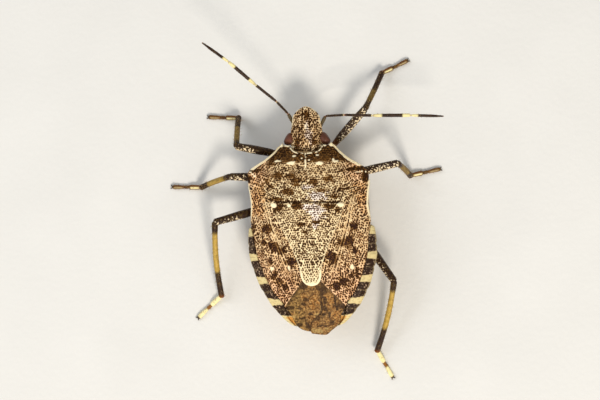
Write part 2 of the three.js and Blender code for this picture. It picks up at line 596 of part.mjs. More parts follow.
for (const one of LEGS) {
  add(limbs, `coxa_${one.name}`, coxaSkin(one, 0), COLOURS.coxa, 0.6);
  add(limbs, `femur_${one.name}`, femurSkin(one, 0), COLOURS.femur, 0.6);
  add(limbs, `tibia_${one.name}`, tibiaSkin(one), COLOURS.tibia, 0.6);
  add(limbs, `tarsus_${one.name}`, tarsusSkin(one), COLOURS.tarsus, 0.6);
}

for (const [side, name] of [[1, "left"], [-1, "right"]]) {
  const colour = (i) => (i === 3 ? COLOURS.feelerPale : COLOURS.feeler);
  addChain(limbs, `antenna_${name}`, feelerJoints(side), FEELER, FEELER_STUMP.knob + GAP, colour);
}

// The body leans to its left over legs that stand level, and the origin is under the middle of the whole
body.rotation.y = BODY_ROLL;
body.position.set(-Math.sin(BODY_ROLL) * ROLL_HEIGHT, 0, (1 - Math.cos(BODY_ROLL)) * ROLL_HEIGHT);
const standing = new THREE.Group();
standing.add(body, limbs);
const middle = new THREE.Box3().setFromObject(standing, true).getCenter(new THREE.Vector3());
standing.position.set(-middle.x, -middle.y, 0);
insect.add(standing);

export default insect;
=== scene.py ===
"""An adult brown marbled shield bug, life size, standing on a plain pale floor.

Body sizes are millimetres in the insect's own frame: x to its left, y the distance behind the tip of
the head, z up. The body leans to its left over legs and feelers that are given in the level frame.
"""

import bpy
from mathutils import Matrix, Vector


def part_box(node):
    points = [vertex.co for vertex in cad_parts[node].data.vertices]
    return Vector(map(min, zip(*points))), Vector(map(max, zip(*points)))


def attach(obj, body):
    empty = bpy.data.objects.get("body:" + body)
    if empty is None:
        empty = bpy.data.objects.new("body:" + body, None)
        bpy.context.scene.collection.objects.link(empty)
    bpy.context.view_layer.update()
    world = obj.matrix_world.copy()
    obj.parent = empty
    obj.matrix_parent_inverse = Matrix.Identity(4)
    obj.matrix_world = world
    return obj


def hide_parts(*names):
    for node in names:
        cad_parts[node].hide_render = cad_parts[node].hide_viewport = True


bl_info = {
    "name": "Marbled Shield Bug",
    "version": (1, 0, 0),
    "blender": (4, 5, 0),
    "location": "3D View > Sidebar > Shield Bug",
    "description": "Models a life-size marbled shield bug, plate by plate, with its studio",
    "category": "Object",
}

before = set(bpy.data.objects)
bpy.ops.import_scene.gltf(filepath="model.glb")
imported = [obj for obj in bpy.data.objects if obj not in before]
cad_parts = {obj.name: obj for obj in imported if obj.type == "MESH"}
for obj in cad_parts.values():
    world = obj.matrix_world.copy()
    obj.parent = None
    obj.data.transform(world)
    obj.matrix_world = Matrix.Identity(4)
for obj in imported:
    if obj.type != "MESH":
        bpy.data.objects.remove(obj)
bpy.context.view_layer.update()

import math

import bmesh
import bpy
import numpy as np
from mathutils import Matrix, Vector

MM = 0.001
SIDES = (("left", 1), ("right", -1))


def through(*pairs):
    """A smooth curve through (place, value) pairs that never overshoots them."""
    places, values = np.array(pairs, float).T
    rises = np.diff(values) / np.diff(places)
    slopes = np.concatenate(([rises[0]], rises))
    inner = slice(1, len(rises))
    product = rises[:-1] * rises[1:]
    total = np.where(product > 0, rises[:-1] + rises[1:], 1)
    slopes[inner] = np.where(product > 0, 2 * product / total, 0)
    slopes[-1] = rises[-1]

    def curve(place):
        held = np.clip(place, places[0], places[-1])
        i = np.clip(np.searchsorted(places, held, side="right") - 1, 0, len(rises) - 1)
        width = places[i + 1] - places[i]
        t = (held - places[i]) / width
        blend = t * t * (3 - 2 * t)
        bend = t * (1 - t) * width * (slopes[i] * (1 - t) - slopes[i + 1] * t)
        return values[i] * (1 - blend) + values[i + 1] * blend + bend

    return curve


def rises(**ranges):
    """A plate's own step(): it takes the name of a range, and the value that rises over it."""
    return lambda name, value: step(value, *ranges[name])


# The whole body, which leans about a line at this height
LEAN = math.radians(7)
LEAN_HEIGHT = 3.5
# How far back a point lies for each millimetre to the left: the right side trails a little
SKEW = -0.035
MIDLINE_HEIGHT = through((2.6, 3.55), (4, 4.35), (5, 4.75), (6.65, 5), (7.5, 5), (9, 4.85), (11, 4.5),
                         (12.4, 4.25), (14.5, 3.75), (16, 3.3))
MARGIN_HEIGHT = through((2.6, 3.1), (4.5, 3.65), (5.5, 3.55), (7, 3.45), (9, 3.35), (13.9, 3.25), (16, 3.1))
KEEL_HEIGHT = through((3.2, 1.85), (5, 1.65), (7.8, 1.2), (10, 0.9), (12, 1.1), (14, 1.85), (15.6, 2.6))
ARCH_SQUARENESS = 2.2
ARCH_STEEPNESS = 0.62
BODY_HALF = through((2.6, 1.8), (3.5, 2.87), (4.51, 4.21), (4.89, 4.27), (5.4, 4.27), (6.4, 4.24),
                    (7.9, 4.29), (8.5, 4.41), (9.5, 4.5), (10.2, 4.48), (10.9, 4.35), (11.8, 4.08),
                    (12.5, 3.84), (13.2, 3.46), (13.9, 3.06), (14.5, 2.54), (15.06, 2), (15.5, 1.32),
                    (16, 0.42))

# Head
HEAD_ENDS = (-0.07, 3.55)
HEAD_HALF = through((0, 0.36), (0.14, 0.52), (0.35, 0.76), (0.67, 0.95), (1.1, 1.02), (1.48, 1.08),
                    (1.8, 1.13), (2.3, 1.14), (2.6, 1.13), (3.1, 1.11), (3.55, 1))
HEAD_TOP = through((0, 2.68), (0.3, 2.84), (1, 3.1), (2, 3.42), (2.6, 3.53), (3.25, 3.5))
HEAD_SIDE = through((0, 2.5), (1, 2.72), (2, 2.9), (3.2, 3.1))
HEAD_BOTTOM = through((0, 2.34), (0.6, 2.08), (1.5, 1.92), (3.2, 1.9))
CHEEK_GROOVE = {"x": 0.2, "spread": 0.06, "reach": 0.055, "edge": 0.015, "depth": 0.09, "length": 1.35}
EYE = {"centre": (1.2, 2.2, 2.86), "radii": (0.45, 0.44, 0.42), "sweep": 0.16, "taper": 0.3}
OCELLUS = {"x": 0.52, "y": 2.66, "radius": 0.08}
FEELER_ROOT = (0.8, 1.5, 1.98)
FEELER_STUMP = (0.6, 1.7, 2.4)

# Pronotum, scutellum and wings
PRONOTUM_HALF = through((2.5, 1.74), (2.8, 2.02), (3.5, 2.82), (4.4, 4.14), (4.6, 4.25), (4.9, 4.27),
                        (5.3, 4.2), (5.5, 4.06), (6.72, 2.42))
# The pronotum's rear edge, and how much nearer the head its left end lies
PRONOTUM_BACK = 6.7
BACK_TILT = 0.07
FRONT_EDGE = through((0, 3.2), (0.2, 3.17), (0.33, 3.1), (0.45, 2.95), (0.56, 2.78), (0.68, 2.67),
                     (0.85, 2.62), (1, 2.52))
SCUTELLUM_HALF = through((6.4, 2.72), (6.9, 2.58), (10.26, 1.1), (11.2, 0.8), (11.8, 0.73), (12.1, 0.64),
                         (12.3, 0.5), (12.42, 0.34), (12.5, 0.08))
SCUTELLUM_ENDS = (6.5, 12.5)
SCUTELLUM_BEND = {"from": 8, "to": 12, "shift": 0.1}
WING_HALF = through((5.2, 4.29), (5.5, 4.27), (6, 4.19), (6.8, 4.13), (7.9, 4.22), (9.14, 4.04), (10.1, 3.92),
                    (11.56, 3.48), (12.9, 2.87), (13.9, 2.17), (14.5, 2.05), (14.9, 1.86), (15.25, 1.56),
                    (15.6, 1.2), (16, 0.2))
WING_ROOT = {"inner": 6.45, "outer": 5.15}
WING_END = {"inner": 12.12, "outer": 13.98}
CLAVUS_EDGE = 0.34
WING_VEINS = (0.56, 0.74)
UPPER_MEMBRANE = {
    "inner": ((0.3, 12), (-0.1, 12.45), (-0.34, 12.95), (-0.5, 13.48), (-0.58, 14), (-0.42, 14.4),
              (-0.08, 14.7), (0.2, 14.95), (0.38, 15.25), (0.45, 15.6)),
    "outer": ((1.2, 12), (1.7, 12.9), (2.05, 13.7), (2.02, 14.05), (1.8, 14.4), (1.66, 14.75), (1.5, 15.15),
              (1.2, 15.48), (0.85, 15.64), (0.5, 15.7)),
}
LOWER_MEMBRANE = {
    "inner": ((-0.2, 12), (0.2, 12.9), (0.4, 13.4), (0.6, 13.9), (0.8, 14.4), (0.9, 14.9), (0.8, 15.3),
              (0.6, 15.6), (0.45, 15.75)),
    "outer": ((-1.2, 12), (-1.75, 12.9), (-2.15, 13.75), (-1.98, 14.2), (-1.75, 14.55), (-1.69, 14.95),
              (-1.42, 15.32), (-1, 15.64), (-0.5, 15.96), (0.41, 15.85)),
}

# Thorax and abdomen
THORAX = (2.95, 8.3)
ABDOMEN = (7.9, 15.52)
SEGMENT_BORDERS = (9.62, 11.25, 12.85, 14.12)
# How much of the way round a section its steep side takes, and how far that side swells
WALL = 0.18
WALL_SWELL = 0.02
PALE_BLOCKS = ((8.68, 0.23), (10.42, 0.21), (12.05, 0.22), (13.58, 0.2), (14.98, 0.4))

# Legs: the coxa's root is on the body, and the other joints are points of the level frame
LEGS = {
    "fore_left": ((0.95, 3.8, 1.75), (1.55, 3.25, 1.3), (4.88, 2.45, 2.9), (4.65, 0.43, 0.5),
                  (6.91, 0.23, 0)),
    "fore_right": ((-0.95, 3.8, 1.75), (-1.6, 3.05, 1.45), (-4.25, 0.34, 2.1), (-5.6, -2.14, 0.5),
                   (-7.63, -3, 0)),
    "mid_left": ((1.3, 5.3, 1.65), (1.75, 4.82, 1.05), (5.45, 4.54, 2.45), (7.51, 5.16, 0.5),
                 (9.74, 5.01, 0)),
    "mid_right": ((-1.3, 5.3, 1.65), (-2.15, 5, 1.4), (-6.29, 4.28, 3.5), (-7.19, 5.18, 0.5),
                  (-9.51, 4.82, 0)),
    "hind_left": ((1.45, 7.1, 1.45), (2, 6.62, 1.05), (6.7, 7.67, 2.5), (6.56, 12.85, 0.5), (8.44, 14.46, 0)),
    "hind_right": ((-1.45, 7.1, 1.45), (-2.5, 7.55, 1.25), (-5.59, 12.5, 2.5), (-4.17, 17.34, 0.5),
                   (-5.24, 19.49, 0)),
}
COXA_GIRTH = through((0, 0.36), (0.5, 0.36), (1, 0.25))
FEMUR_GIRTH = through((0, 0.22), (0.07, 0.2), (0.13, 0.2), (0.3, 0.265), (0.6, 0.29), (0.88, 0.26),
                      (1, 0.245))
TIBIA_GIRTH = through((0, 0.22), (0.06, 0.22), (0.2, 0.185), (0.7, 0.185), (0.9, 0.2), (1, 0.21))
TARSUS_JOINTS = ((0, 0.43, 0.14, 0.17), (0.4, 0.57, 0.11, 0.12), (0.54, 0.95, 0.11, 0.15))
TARSUS_HEIGHT = 0.14
CLAW = {"length": 0.26, "girth": 0.04, "splay": 0.55}
KNEE_OVERLAP = 0.13
# How far the shin runs on past the ankle, and how high the foot starts there
ANKLE_OVERLAP = 0.2
ANKLE_LIFT = 0.17
# How far the coxa reaches up into the breast, and each beak segment into the one before
COXA_RISE = 0.4
BEAK_OVERLAP = 0.13
# How far each shin bows away from the body
SHIN_SWEEP = {"fore": 0.03, "mid": 0.05, "hind": 0.16}

# Feelers: joints in the level frame, from the end of the first segment to the tip
FEELERS = {
    "left": ((1.15, 0.36, 2.3), (1.91, -0.52, 2.95), (3.31, -1.76, 3.65), (5.07, -3.43, 4.6),
             (6.85, -4.88, 4.5)),
    "right": ((-1.46, 0.68, 2.45), (-2.75, 0.69, 3.1), (-4.74, 0.85, 3.35), (-7.42, 0.99, 3.45),
              (-9.72, 1.19, 3.3)),
}
FEELER_GIRTHS = (0.12, 0.085, 0.1, 0.125, 0.1)
BEAK_JOINTS = ((0, 0.75, 1.85), (0, 2.35, 1.4), (0, 4.2, 1.2), (0, 5.5, 1.05), (0, 6.7, 0.92))
BEAK_GIRTHS = (0.2, 0.17, 0.14, 0.11)

# Markings of the back, with painted highlights and painted shadow among them, as (x, y, half width, half
# length)
PRONOTUM_PALE = ((1.97, 3.73, 0.27, 0.07), (1.01, 3.89, 0.23, 0.11), (-0.97, 3.94, 0.22, 0.12),
                 (-2.0, 3.84, 0.2, 0.08), (-1.9, 3.72, 0.07, 0.1), (0.84, 3.4, 0.11, 0.06),
                 (-0.8, 3.37, 0.11, 0.06), (0.29, 3.57, 0.05, 0.04), (-0.22, 3.7, 0.05, 0.05),
                 (4.0, 4.46, 0.1, 0.05), (3.84, 4.6, 0.11, 0.05), (3.69, 4.74, 0.09, 0.05),
                 (-3.6, 4.61, 0.17, 0.04), (-3.86, 4.56, 0.05, 0.07), (-4.1, 4.6, 0.04, 0.06),
                 (1.78, 2.66, 0.15, 0.1), (-1.76, 2.66, 0.15, 0.1))
PRONOTUM_DARK = ((0.68, 5.12, 0.32, 0.18), (0.69, 5.42, 0.24, 0.14), (-0.52, 5.24, 0.32, 0.22),
                 (-1.6, 5.06, 0.4, 0.22), (1.12, 4.77, 0.3, 0.14), (2.02, 4.76, 0.4, 0.22),
                 (2.77, 5.01, 0.16, 0.24), (-1.01, 5.81, 0.36, 0.16), (1.29, 5.9, 0.42, 0.2),
                 (-2.68, 5.73, 0.4, 0.1), (2.5, 5.46, 0.24, 0.15), (2.1, 6.37, 0.4, 0.14),
                 (-1.9, 6.3, 0.3, 0.12), (2.43, 3.95, 0.3, 0.1))
SHOULDER_DARK = ((4.28, 4.95, 0.34, 0.42), (3.6, 4.34, 0.56, 0.15), (-4.16, 4.9, 0.3, 0.42),
                 (-3.68, 4.36, 0.55, 0.15), (-3.1, 4.42, 0.3, 0.12))
PRONOTUM_GOLD = ((3.55, 6.1, 0.7, 0.8), (-3.6, 6.1, 0.5, 0.6))
# Painted highlights: whitish patches where the pronotum's rear is painted as if it caught the light
PRONOTUM_HIGHLIGHT = ((-0.8, 6.2, 0.6, 0.3), (-0.1, 5.6, 0.4, 0.2))
SCUTELLUM_PALE = ((2.41, 6.8, 0.18, 0.17), (-2.32, 6.83, 0.2, 0.18), (1.28, 6.86, 0.12, 0.1))
SCUTELLUM_DARK = ((2.0, 6.95, 0.36, 0.24), (2.4, 7.22, 0.18, 0.16), (0.74, 6.9, 0.38, 0.22),
                  (-1.5, 6.93, 0.4, 0.2), (0.53, 8.19, 0.26, 0.16), (-0.54, 8.03, 0.32, 0.14),
                  (0.21, 8.71, 0.18, 0.12), (-2.1, 7.13, 0.16, 0.2))
# Painted highlights: whitish patches where the scutellum's base is painted as if it caught the light
SCUTELLUM_HIGHLIGHT = ((-0.2, 6.95, 0.7, 0.18), (-0.72, 7.25, 0.5, 0.4), (-0.5, 8.0, 0.3, 0.4))
SCUTELLUM_TIP_START = 11.4
WING_DARK = {
    "left": ((3.02, 8.44, 0.36, 0.3), (2.62, 9.56, 0.36, 0.24), (2.18, 9.96, 0.38, 0.32),
             (1.42, 10.82, 0.46, 0.32), (2.72, 11.74, 0.22, 0.24), (2.4, 12.06, 0.3, 0.24),
             (2.04, 12.5, 0.28, 0.24), (2.91, 10.77, 0.14, 0.24), (3.3, 9.42, 0.2, 0.18),
             (4.02, 8.2, 0.1, 0.2)),
    "right": ((-3.11, 8.42, 0.34, 0.28), (-2.5, 9.46, 0.5, 0.4), (-1.5, 10.56, 0.5, 0.42),
              (-3.04, 10.04, 0.14, 0.26), (-1.68, 12.54, 0.34, 0.2), (-2.0, 12.32, 0.34, 0.24),
              (-2.34, 12.1, 0.3, 0.24), (-2.66, 11.84, 0.3, 0.22), (-3.1, 11.65, 0.1, 0.4)),
}
WING_GOLD = {"left": ((3.75, 6.7, 0.55, 1.1),), "right": ((-3.75, 6.5, 0.3, 0.7),)}
WING_PALE = {
    "left": ((2.83, 11.23, 0.14, 0.15), (1.62, 11.17, 0.08, 0.16)),
    "right": ((-2.77, 11.23, 0.18, 0.15),),
}
HEAD_DARK = ((-0.02, 0.5, 0.17, 0.36), (0.62, 2.52, 0.2, 0.3), (-0.62, 2.48, 0.2, 0.3),
             (0.75, 3.0, 0.4, 0.16), (-0.75, 2.97, 0.4, 0.16))
HEAD_SIDE_DARK = ((0.72, 2.0, 0.34, 0.9), (-0.8, 2.1, 0.24, 0.8), (0.25, 2.2, 0.12, 0.6))
# Painted highlights along the crown of the head
HEAD_HIGHLIGHT = ((-0.08, 1.35, 0.12, 0.4), (-0.16, 1.95, 0.22, 0.4), (-0.34, 2.35, 0.16, 0.3))
HEAD_PALE = ((0, 0.08, 0.1, 0.06), (0, 1.35, 0.05, 0.16), (1.02, 2.79, 0.16, 0.07), (-1.02, 2.71, 0.16, 0.07))
# Dark marks of the membranes; the last five ovals are painted shadow beside the upper membrane's inner edge,
# together with the lower membrane's dark vein
MEMBRANE_DARK_AND_SHADOW = ((-0.68, 12.62, 0.5, 0.36), (0.72, 12.5, 0.3, 0.34), (0.6, 13.45, 0.18, 0.14),
                 (0.82, 13.75, 0.2, 0.12), (1.08, 14.02, 0.18, 0.12), (0.62, 15.3, 0.16, 0.2),
                 (0.34, 14.44, 0.2, 0.11), (1.74, 13.99, 0.26, 0.12),
                 (1.29, 15.2, 0.32, 0.12), (-1.06, 15.06, 0.2, 0.2), (-1.8, 13.9, 0.3, 0.14),
                 (-2.0, 14.2, 0.14, 0.2), (-1.42, 13.5, 0.06, 0.4), (-1.5, 14.05, 0.1, 0.2),
                 (-0.95, 14.6, 0.08, 0.3), (0.95, 14.75, 0.3, 0.08), (-0.3, 15.3, 0.3, 0.08),
                 (-0.52, 13.1, 0.1, 0.3), (-0.7, 13.6, 0.12, 0.3), (-0.7, 14.1, 0.15, 0.3),
                 (-0.5, 14.52, 0.22, 0.18), (-0.1, 14.78, 0.26, 0.1))
MEMBRANE_PALE = ((-0.38, 14.15, 0.04, 0.22), (-0.08, 14.48, 0.2, 0.07),
                 (0.0, 15.66, 0.36, 0.18), (1.55, 14.6, 0.16, 0.1), (-0.6, 15.5, 0.16, 0.05))
MEMBRANE_AMBER = ((-0.05, 13.6, 0.34, 0.42), (-0.96, 13.44, 0.34, 0.4), (-1.6, 14.5, 0.34, 0.22),
                  (0.75, 13.2, 0.2, 0.2), (1.66, 14.55, 0.2, 0.2), (-1.3, 14.75, 0.3, 0.3))


def linear(code):
    """An sRGB hex colour as linear red, green, blue and alpha."""
    channels = [int(code[i:i + 2], 16) / 255 for i in (1, 3, 5)]
    return [c / 12.92 if c <= 0.04045 else ((c + 0.055) / 1.055) ** 2.4 for c in channels] + [1.0]


def colour_property(name, code, description):
    """A colour that a user may change."""
    return bpy.props.FloatVectorProperty(name=name, description=description, default=linear(code), size=4,
                                         subtype="COLOR", min=0, max=1)


def length_property(name, millimetres, description):
    """A small length that a user may change, kept in metres."""
    return bpy.props.FloatProperty(name=name, description=description, default=millimetres * MM, min=0,
                                   subtype="DISTANCE", unit="LENGTH", precision=6)


class CuticleSettings(bpy.types.PropertyGroup):
    """Punctures and colours of the hard back."""

    pitch: length_property("Puncture spacing", 0.165, "Distance between neighbouring punctures of the back")
    radius: length_property("Puncture radius", 0.052, "Radius of a puncture of the back")
    depth: length_property("Puncture depth", 0.035, "How deep a puncture sinks into the cuticle")
    seed: bpy.props.IntProperty(name="Seed", description="Chooses where the punctures fall", default=7, min=0)
    cream: colour_property("Cream", "#ffe7b6", "Raised network between the punctures")
    straw: colour_property("Straw", "#fff1c4", "Network of the scutellum and the rear of the pronotum")
    bloom: colour_property("Bloom", "#fff7ee", "Network where the wax is thickest")
    # Painted highlight: the whitish network where the back is painted as if it caught the light
    gold: colour_property("Gold", "#eda656", "Network at the outer front corners of the wings")
    russet: colour_property("Russet", "#984828", "Ring round the punctures of the wings' rear half")
    rose: colour_property("Rose", "#ffd4a9", "Network near the shoulders and the ends of the wings")
    tan: colour_property("Tan", "#bb832c", "Shade that mottles the network")
    amber: colour_property("Amber", "#90560f", "Ring of tanned cuticle round each puncture")
    puncture: colour_property("Puncture brown", "#2b1500", "Bottom of the punctures")
    brown: colour_property("Brown", "#805621", "Ragged edges of the dark marbling")
    blotch: colour_property("Blotch brown", "#2b1708", "Dark marbling")
    callus: colour_property("Callus", "#fff0c8", "Smooth pale calli, margins and the tip of the scutellum")
    membrane: colour_property("Membrane ochre", "#895a26", "Thin rear part of the forewings")
    eye: colour_property("Eye", "#4a281a", "Compound eyes")


class LimbSettings(bpy.types.PropertyGroup):
    """Colours and bristles of legs, feelers and beak."""

    umber: colour_property("Umber", "#2b1607", "Dark parts of the legs")
    ochre: colour_property("Ochre", "#b2923a", "Pale rings and specks of the legs")
    speck: colour_property("Speck", "#efdab4", "Cream specks of the thighs")
    feeler: colour_property("Feeler brown", "#22140b", "Dark parts of the feelers")
    ivory: colour_property("Ivory", "#f0e2a4", "Pale rings of the feelers")
    bristle: length_property("Bristle length", 0.2, "Length of a bristle on the shins")
    bristles: bpy.props.IntProperty(name="Bristles", description="Bristles on each shin", default=90, min=0)


class StageSettings(bpy.types.PropertyGroup):
    """Floor, lights and camera."""

    floor: colour_property("Floor", "#dededb", "Plain matt studio floor")
    height: length_property("Camera height", 300, "Height of the camera above the floor")
    lens: bpy.props.FloatProperty(name="Lens", description="Focal length of the camera", default=254.7,
                                  min=1, subtype="DISTANCE_CAMERA", unit="CAMERA")
    key: bpy.props.FloatProperty(name="Key light", description="Power of the soft key light", default=0.8,
                                 min=0, subtype="POWER", unit="POWER")


def frame_origin():
    """Where the tip of the head and the body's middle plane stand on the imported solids' floor."""
    boxes = [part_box(f"eye_{name}") for name, _ in SIDES]
    sides = [corner.x for box in boxes for corner in box]
    middle = sum(sides) / len(sides) / MM
    lean_shift = (EYE["centre"][2] - LEAN_HEIGHT) * math.sin(LEAN)
    return np.array([middle - lean_shift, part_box("head")[0].y / MM, 0])


ORIGIN = frame_origin()


def from_level(points):
    """Level-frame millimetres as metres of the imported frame."""
    return (np.asarray(points, float) + ORIGIN) * MM


def leaned(points):
    """Body-frame millimetres as level-frame millimetres."""
    x, y, z = np.asarray(points, float).reshape(-1, 3).T
    up = z - LEAN_HEIGHT
    across = x * math.cos(LEAN) + up * math.sin(LEAN)
    return np.stack([across, y + SKEW * x, up * math.cos(LEAN) - x * math.sin(LEAN) + LEAN_HEIGHT], 1)


def from_body(points):
    """Body-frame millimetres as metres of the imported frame."""
    return from_level(leaned(points))


def back_height(x, y):
    """Height of the back, arched from one margin to the other."""
    reach = np.minimum(np.abs(x) / BODY_HALF(y), 1)
    arch = (1 - reach ** ARCH_SQUARENESS) ** ARCH_STEEPNESS
    return MARGIN_HEIGHT(y) + (MIDLINE_HEIGHT(y) - MARGIN_HEIGHT(y)) * arch


def step(value, start, end):
    """Rises smoothly from 0 at start to 1 at end."""
    t = np.clip((value - start) / (end - start), 0, 1)
    return t * t * (3 - 2 * t)


def bump(distance):
    """A rounded bump of height 1 at zero that ends at one."""
    return np.maximum(0, 1 - distance * distance) ** 2


def rolled(distance, radius):
    """How far a plate's rounded edge has dropped at a distance inside it."""
    near = 1 - np.clip(distance / radius, 0, 1)
    return radius * (1 - np.sqrt(1 - near * near))


def crowded(t, ends=0.6):
    """Even shares from 0 to 1, set closer together at both ends."""
    return t - ends * np.sin(2 * math.pi * t) / (2 * math.pi)


WANDER_CELLS = 64


def wander(x, y, size, seed):
    """Smooth random values from 0 to 1 that change over about the given size."""
    table = np.random.default_rng(seed).random((WANDER_CELLS, WANDER_CELLS))
    gx, gy = x / size + WANDER_CELLS / 2, y / size + WANDER_CELLS / 2
    i, j = np.floor(gx).astype(int), np.floor(gy).astype(int)
    u, v = step(gx - i, 0, 1), step(gy - j, 0, 1)

    def drawn(column, row):
        return table[column % WANDER_CELLS, row % WANDER_CELLS]

    near = drawn(i, j) * (1 - u) + drawn(i + 1, j) * u
    far = drawn(i, j + 1) * (1 - u) + drawn(i + 1, j + 1) * u
    return near * (1 - v) + far * v


def sway(x, y, size, seed):
    """Smooth random values from -0.5 to 0.5."""
    return wander(x, y, size, seed) - 0.5


def oval(x, y, mark):
    """Distance from the middle of an oval mark, which is 1 on its outline."""
    middle_x, middle_y, half_width, half_length = mark
    return np.hypot((x - middle_x) / half_width, (y - middle_y) / half_length)


# Sizes of the notches in a mark's edge, and where the edge starts and how soft it is
NOTCHES = (0.1, 0.22)
MARK_REACH = 1.3
MARK_FADE = 0.55


def patches(x, y, places, ragged=0.5, seed=3):
    """From 0 outside to 1 inside a few oval marks with ragged edges."""
    uneven = sum(sway(x, y, size, seed + i) for i, size in enumerate(NOTCHES)) * ragged
    return np.maximum.reduce([step(MARK_REACH - oval(x, y, mark) + uneven, 0, MARK_FADE) for mark in places])


# Distance of the rows of pits in pitches, the table of draws, and how irregularly pits stand
ROW = 0.87
DRAWS = 97
JITTER = 0.45
# How far the rows waver, and over what length
WAVER_X = (0.18, 0.6)
WAVER_Y = (0.26, 0.7)
# Share of the joined pits that run into the next of their row, and how much narrower they are between
IN_ROW = 0.58
WAIST = 0.42
# Least width of a pit in radii, and the spread above it
PIT_WIDTHS = (0.78, 0.44)
PIT_EDGE = 0.01
RING_EDGE = 0.018


def punctures(x, y, size, joined, seed, smooth=0.0):
    """How deep each point lies in the punctures, and in the brown ring round each of them.

    The pits follow wavering rows, and many run into the next one.
    """
    cuticle = bpy.context.scene.cuticle
    pitch = cuticle.pitch / MM
    radius = cuticle.radius / MM * size
    draws = np.random.default_rng(cuticle.seed + seed).random((5, DRAWS, DRAWS))
    x = x + WAVER_X[0] * sway(x, y, WAVER_X[1], seed)
    y = y + WAVER_Y[0] * sway(x, y, WAVER_Y[1], seed + 1)

    def centre(i, j):
        offset = 0.5 + 0.5 * (j % 2)
        jitter = JITTER * (draws[:2, i % DRAWS, j % DRAWS] - 0.5)
        return (i + offset + jitter[0]) * pitch, (j + 0.5 + jitter[1]) * pitch * ROW

    rows = np.floor(y / (pitch * ROW)).astype(int)
    pit, ring = np.zeros_like(x), np.zeros_like(x)
    for row in (rows - 1, rows, rows + 1):
        columns = np.floor(x / pitch - 0.5 * (row % 2)).astype(int)
        for column in (columns - 1, columns, columns + 1):
            cx, cy = centre(column, row)
            draw = draws[2:, column % DRAWS, row % DRAWS]
            sideways = draw[0] < IN_ROW
            nx, ny = centre(column + sideways, row + ~sideways)
            run_x, run_y = nx - cx, ny - cy
            along = ((x - cx) * run_x + (y - cy) * run_y) / (run_x ** 2 + run_y ** 2 + 1e-9)
            along = np.clip(along, 0, 1) * (draw[1] < joined)
            distance = np.hypot(x - cx - along * run_x, y - cy - along * run_y)
            width = radius * (PIT_WIDTHS[0] + PIT_WIDTHS[1] * draw[2])
            width = width * (1 - WAIST * np.sin(math.pi * along))
            pit = np.maximum(pit, step(width - distance, -PIT_EDGE, PIT_EDGE))
            ring = np.maximum(ring, step(width + RING_EDGE - distance, -RING_EDGE, RING_EDGE))
    return pit * (1 - smooth), ring * (1 - smooth)


# Points nearer than this, in metres, are one point
DOUBLES = 1e-8


def mould(name, bm, place):
    """Makes a piece of a bmesh: place() turns its raw points into metres and their marks."""
    mesh = bpy.data.meshes.new(name)
    bm.to_mesh(mesh)
    bm.free()
    raw = np.empty(len(mesh.vertices) * 3)
    mesh.vertices.foreach_get("co", raw)
    points, marks = place(raw.reshape(-1, 3))
    mesh.vertices.foreach_set("co", points.ravel())
    for mark, values in marks.items():
        level = np.broadcast_to(np.asarray(values, float), len(mesh.vertices))
        mesh.attributes.new(mark, "FLOAT", "POINT").data.foreach_set("value", level.copy())
    outward(mesh)
    piece = bpy.data.objects.new(name, mesh)
    bpy.context.scene.collection.objects.link(piece)
    return piece


def outward(mesh):
    """Merges doubled points, turns every face outwards and smooths the shading."""
    bm = bmesh.new()
    bm.from_mesh(mesh)
    bmesh.ops.remove_doubles(bm, verts=bm.verts, dist=DOUBLES)
    bmesh.ops.recalc_face_normals(bm, faces=bm.faces)
    bm.to_mesh(mesh)
    bm.free()
    mesh.shade_smooth()


def sheet(name, columns, rows, place, thickness):
    """A plate from a grid: place() takes shares u and v of its width and length, from 0 to 1."""
    bm = bmesh.new()
    bmesh.ops.create_grid(bm, x_segments=columns, y_segments=rows, size=0.5)
    plate = mould(name, bm, lambda raw: place(raw[:, 0] + 0.5, raw[:, 1] + 0.5))
    if sum(polygon.normal.z for polygon in plate.data.polygons) < 0:
        plate.data.flip_normals()
    wall = plate.modifiers.new("Thickness", "SOLIDIFY")
    wall.thickness = thickness * MM
    wall.offset = -1
    return plate


def ball(name, around, along, place):
    """A closed form from a sphere: place() takes the share from pole to pole and the angle round it."""
    bm = bmesh.new()
    bmesh.ops.create_uvsphere(bm, u_segments=around, v_segments=along, radius=1)
    return mould(name, bm, lambda raw: place(np.arccos(np.clip(-raw[:, 2], -1, 1)) / math.pi,
                                             np.arctan2(raw[:, 1], raw[:, 0])))


def sphere(share, angle):
    """Points of a ball of radius 1, by the share from pole to pole and the angle round it."""
    ring = np.sin(share * math.pi)
    return np.stack([ring * np.cos(angle), ring * np.sin(angle), -np.cos(share * math.pi)], 1)


def joined(name, parts):
    """One piece of several parts."""
    if len(parts) > 1:
        with bpy.context.temp_override(active_object=parts[0], selected_editable_objects=parts):
            bpy.ops.object.join()
    parts[0].name = name
    return parts[0]


def finish(piece, slot, *nodes):
    """Fixes a finished piece to the body in place of its plain solids."""
    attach(piece, "root")
    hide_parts(*nodes)


# Nearly all of a noise texture lies between these values
NOISE_RANGE = (0.3, 0.7)
# How irregularly dots are strewn, and where their soft edge starts and ends as shares of the radius
DOT_SCATTER = 0.85
DOT_EDGE = (1.3, 0.7)


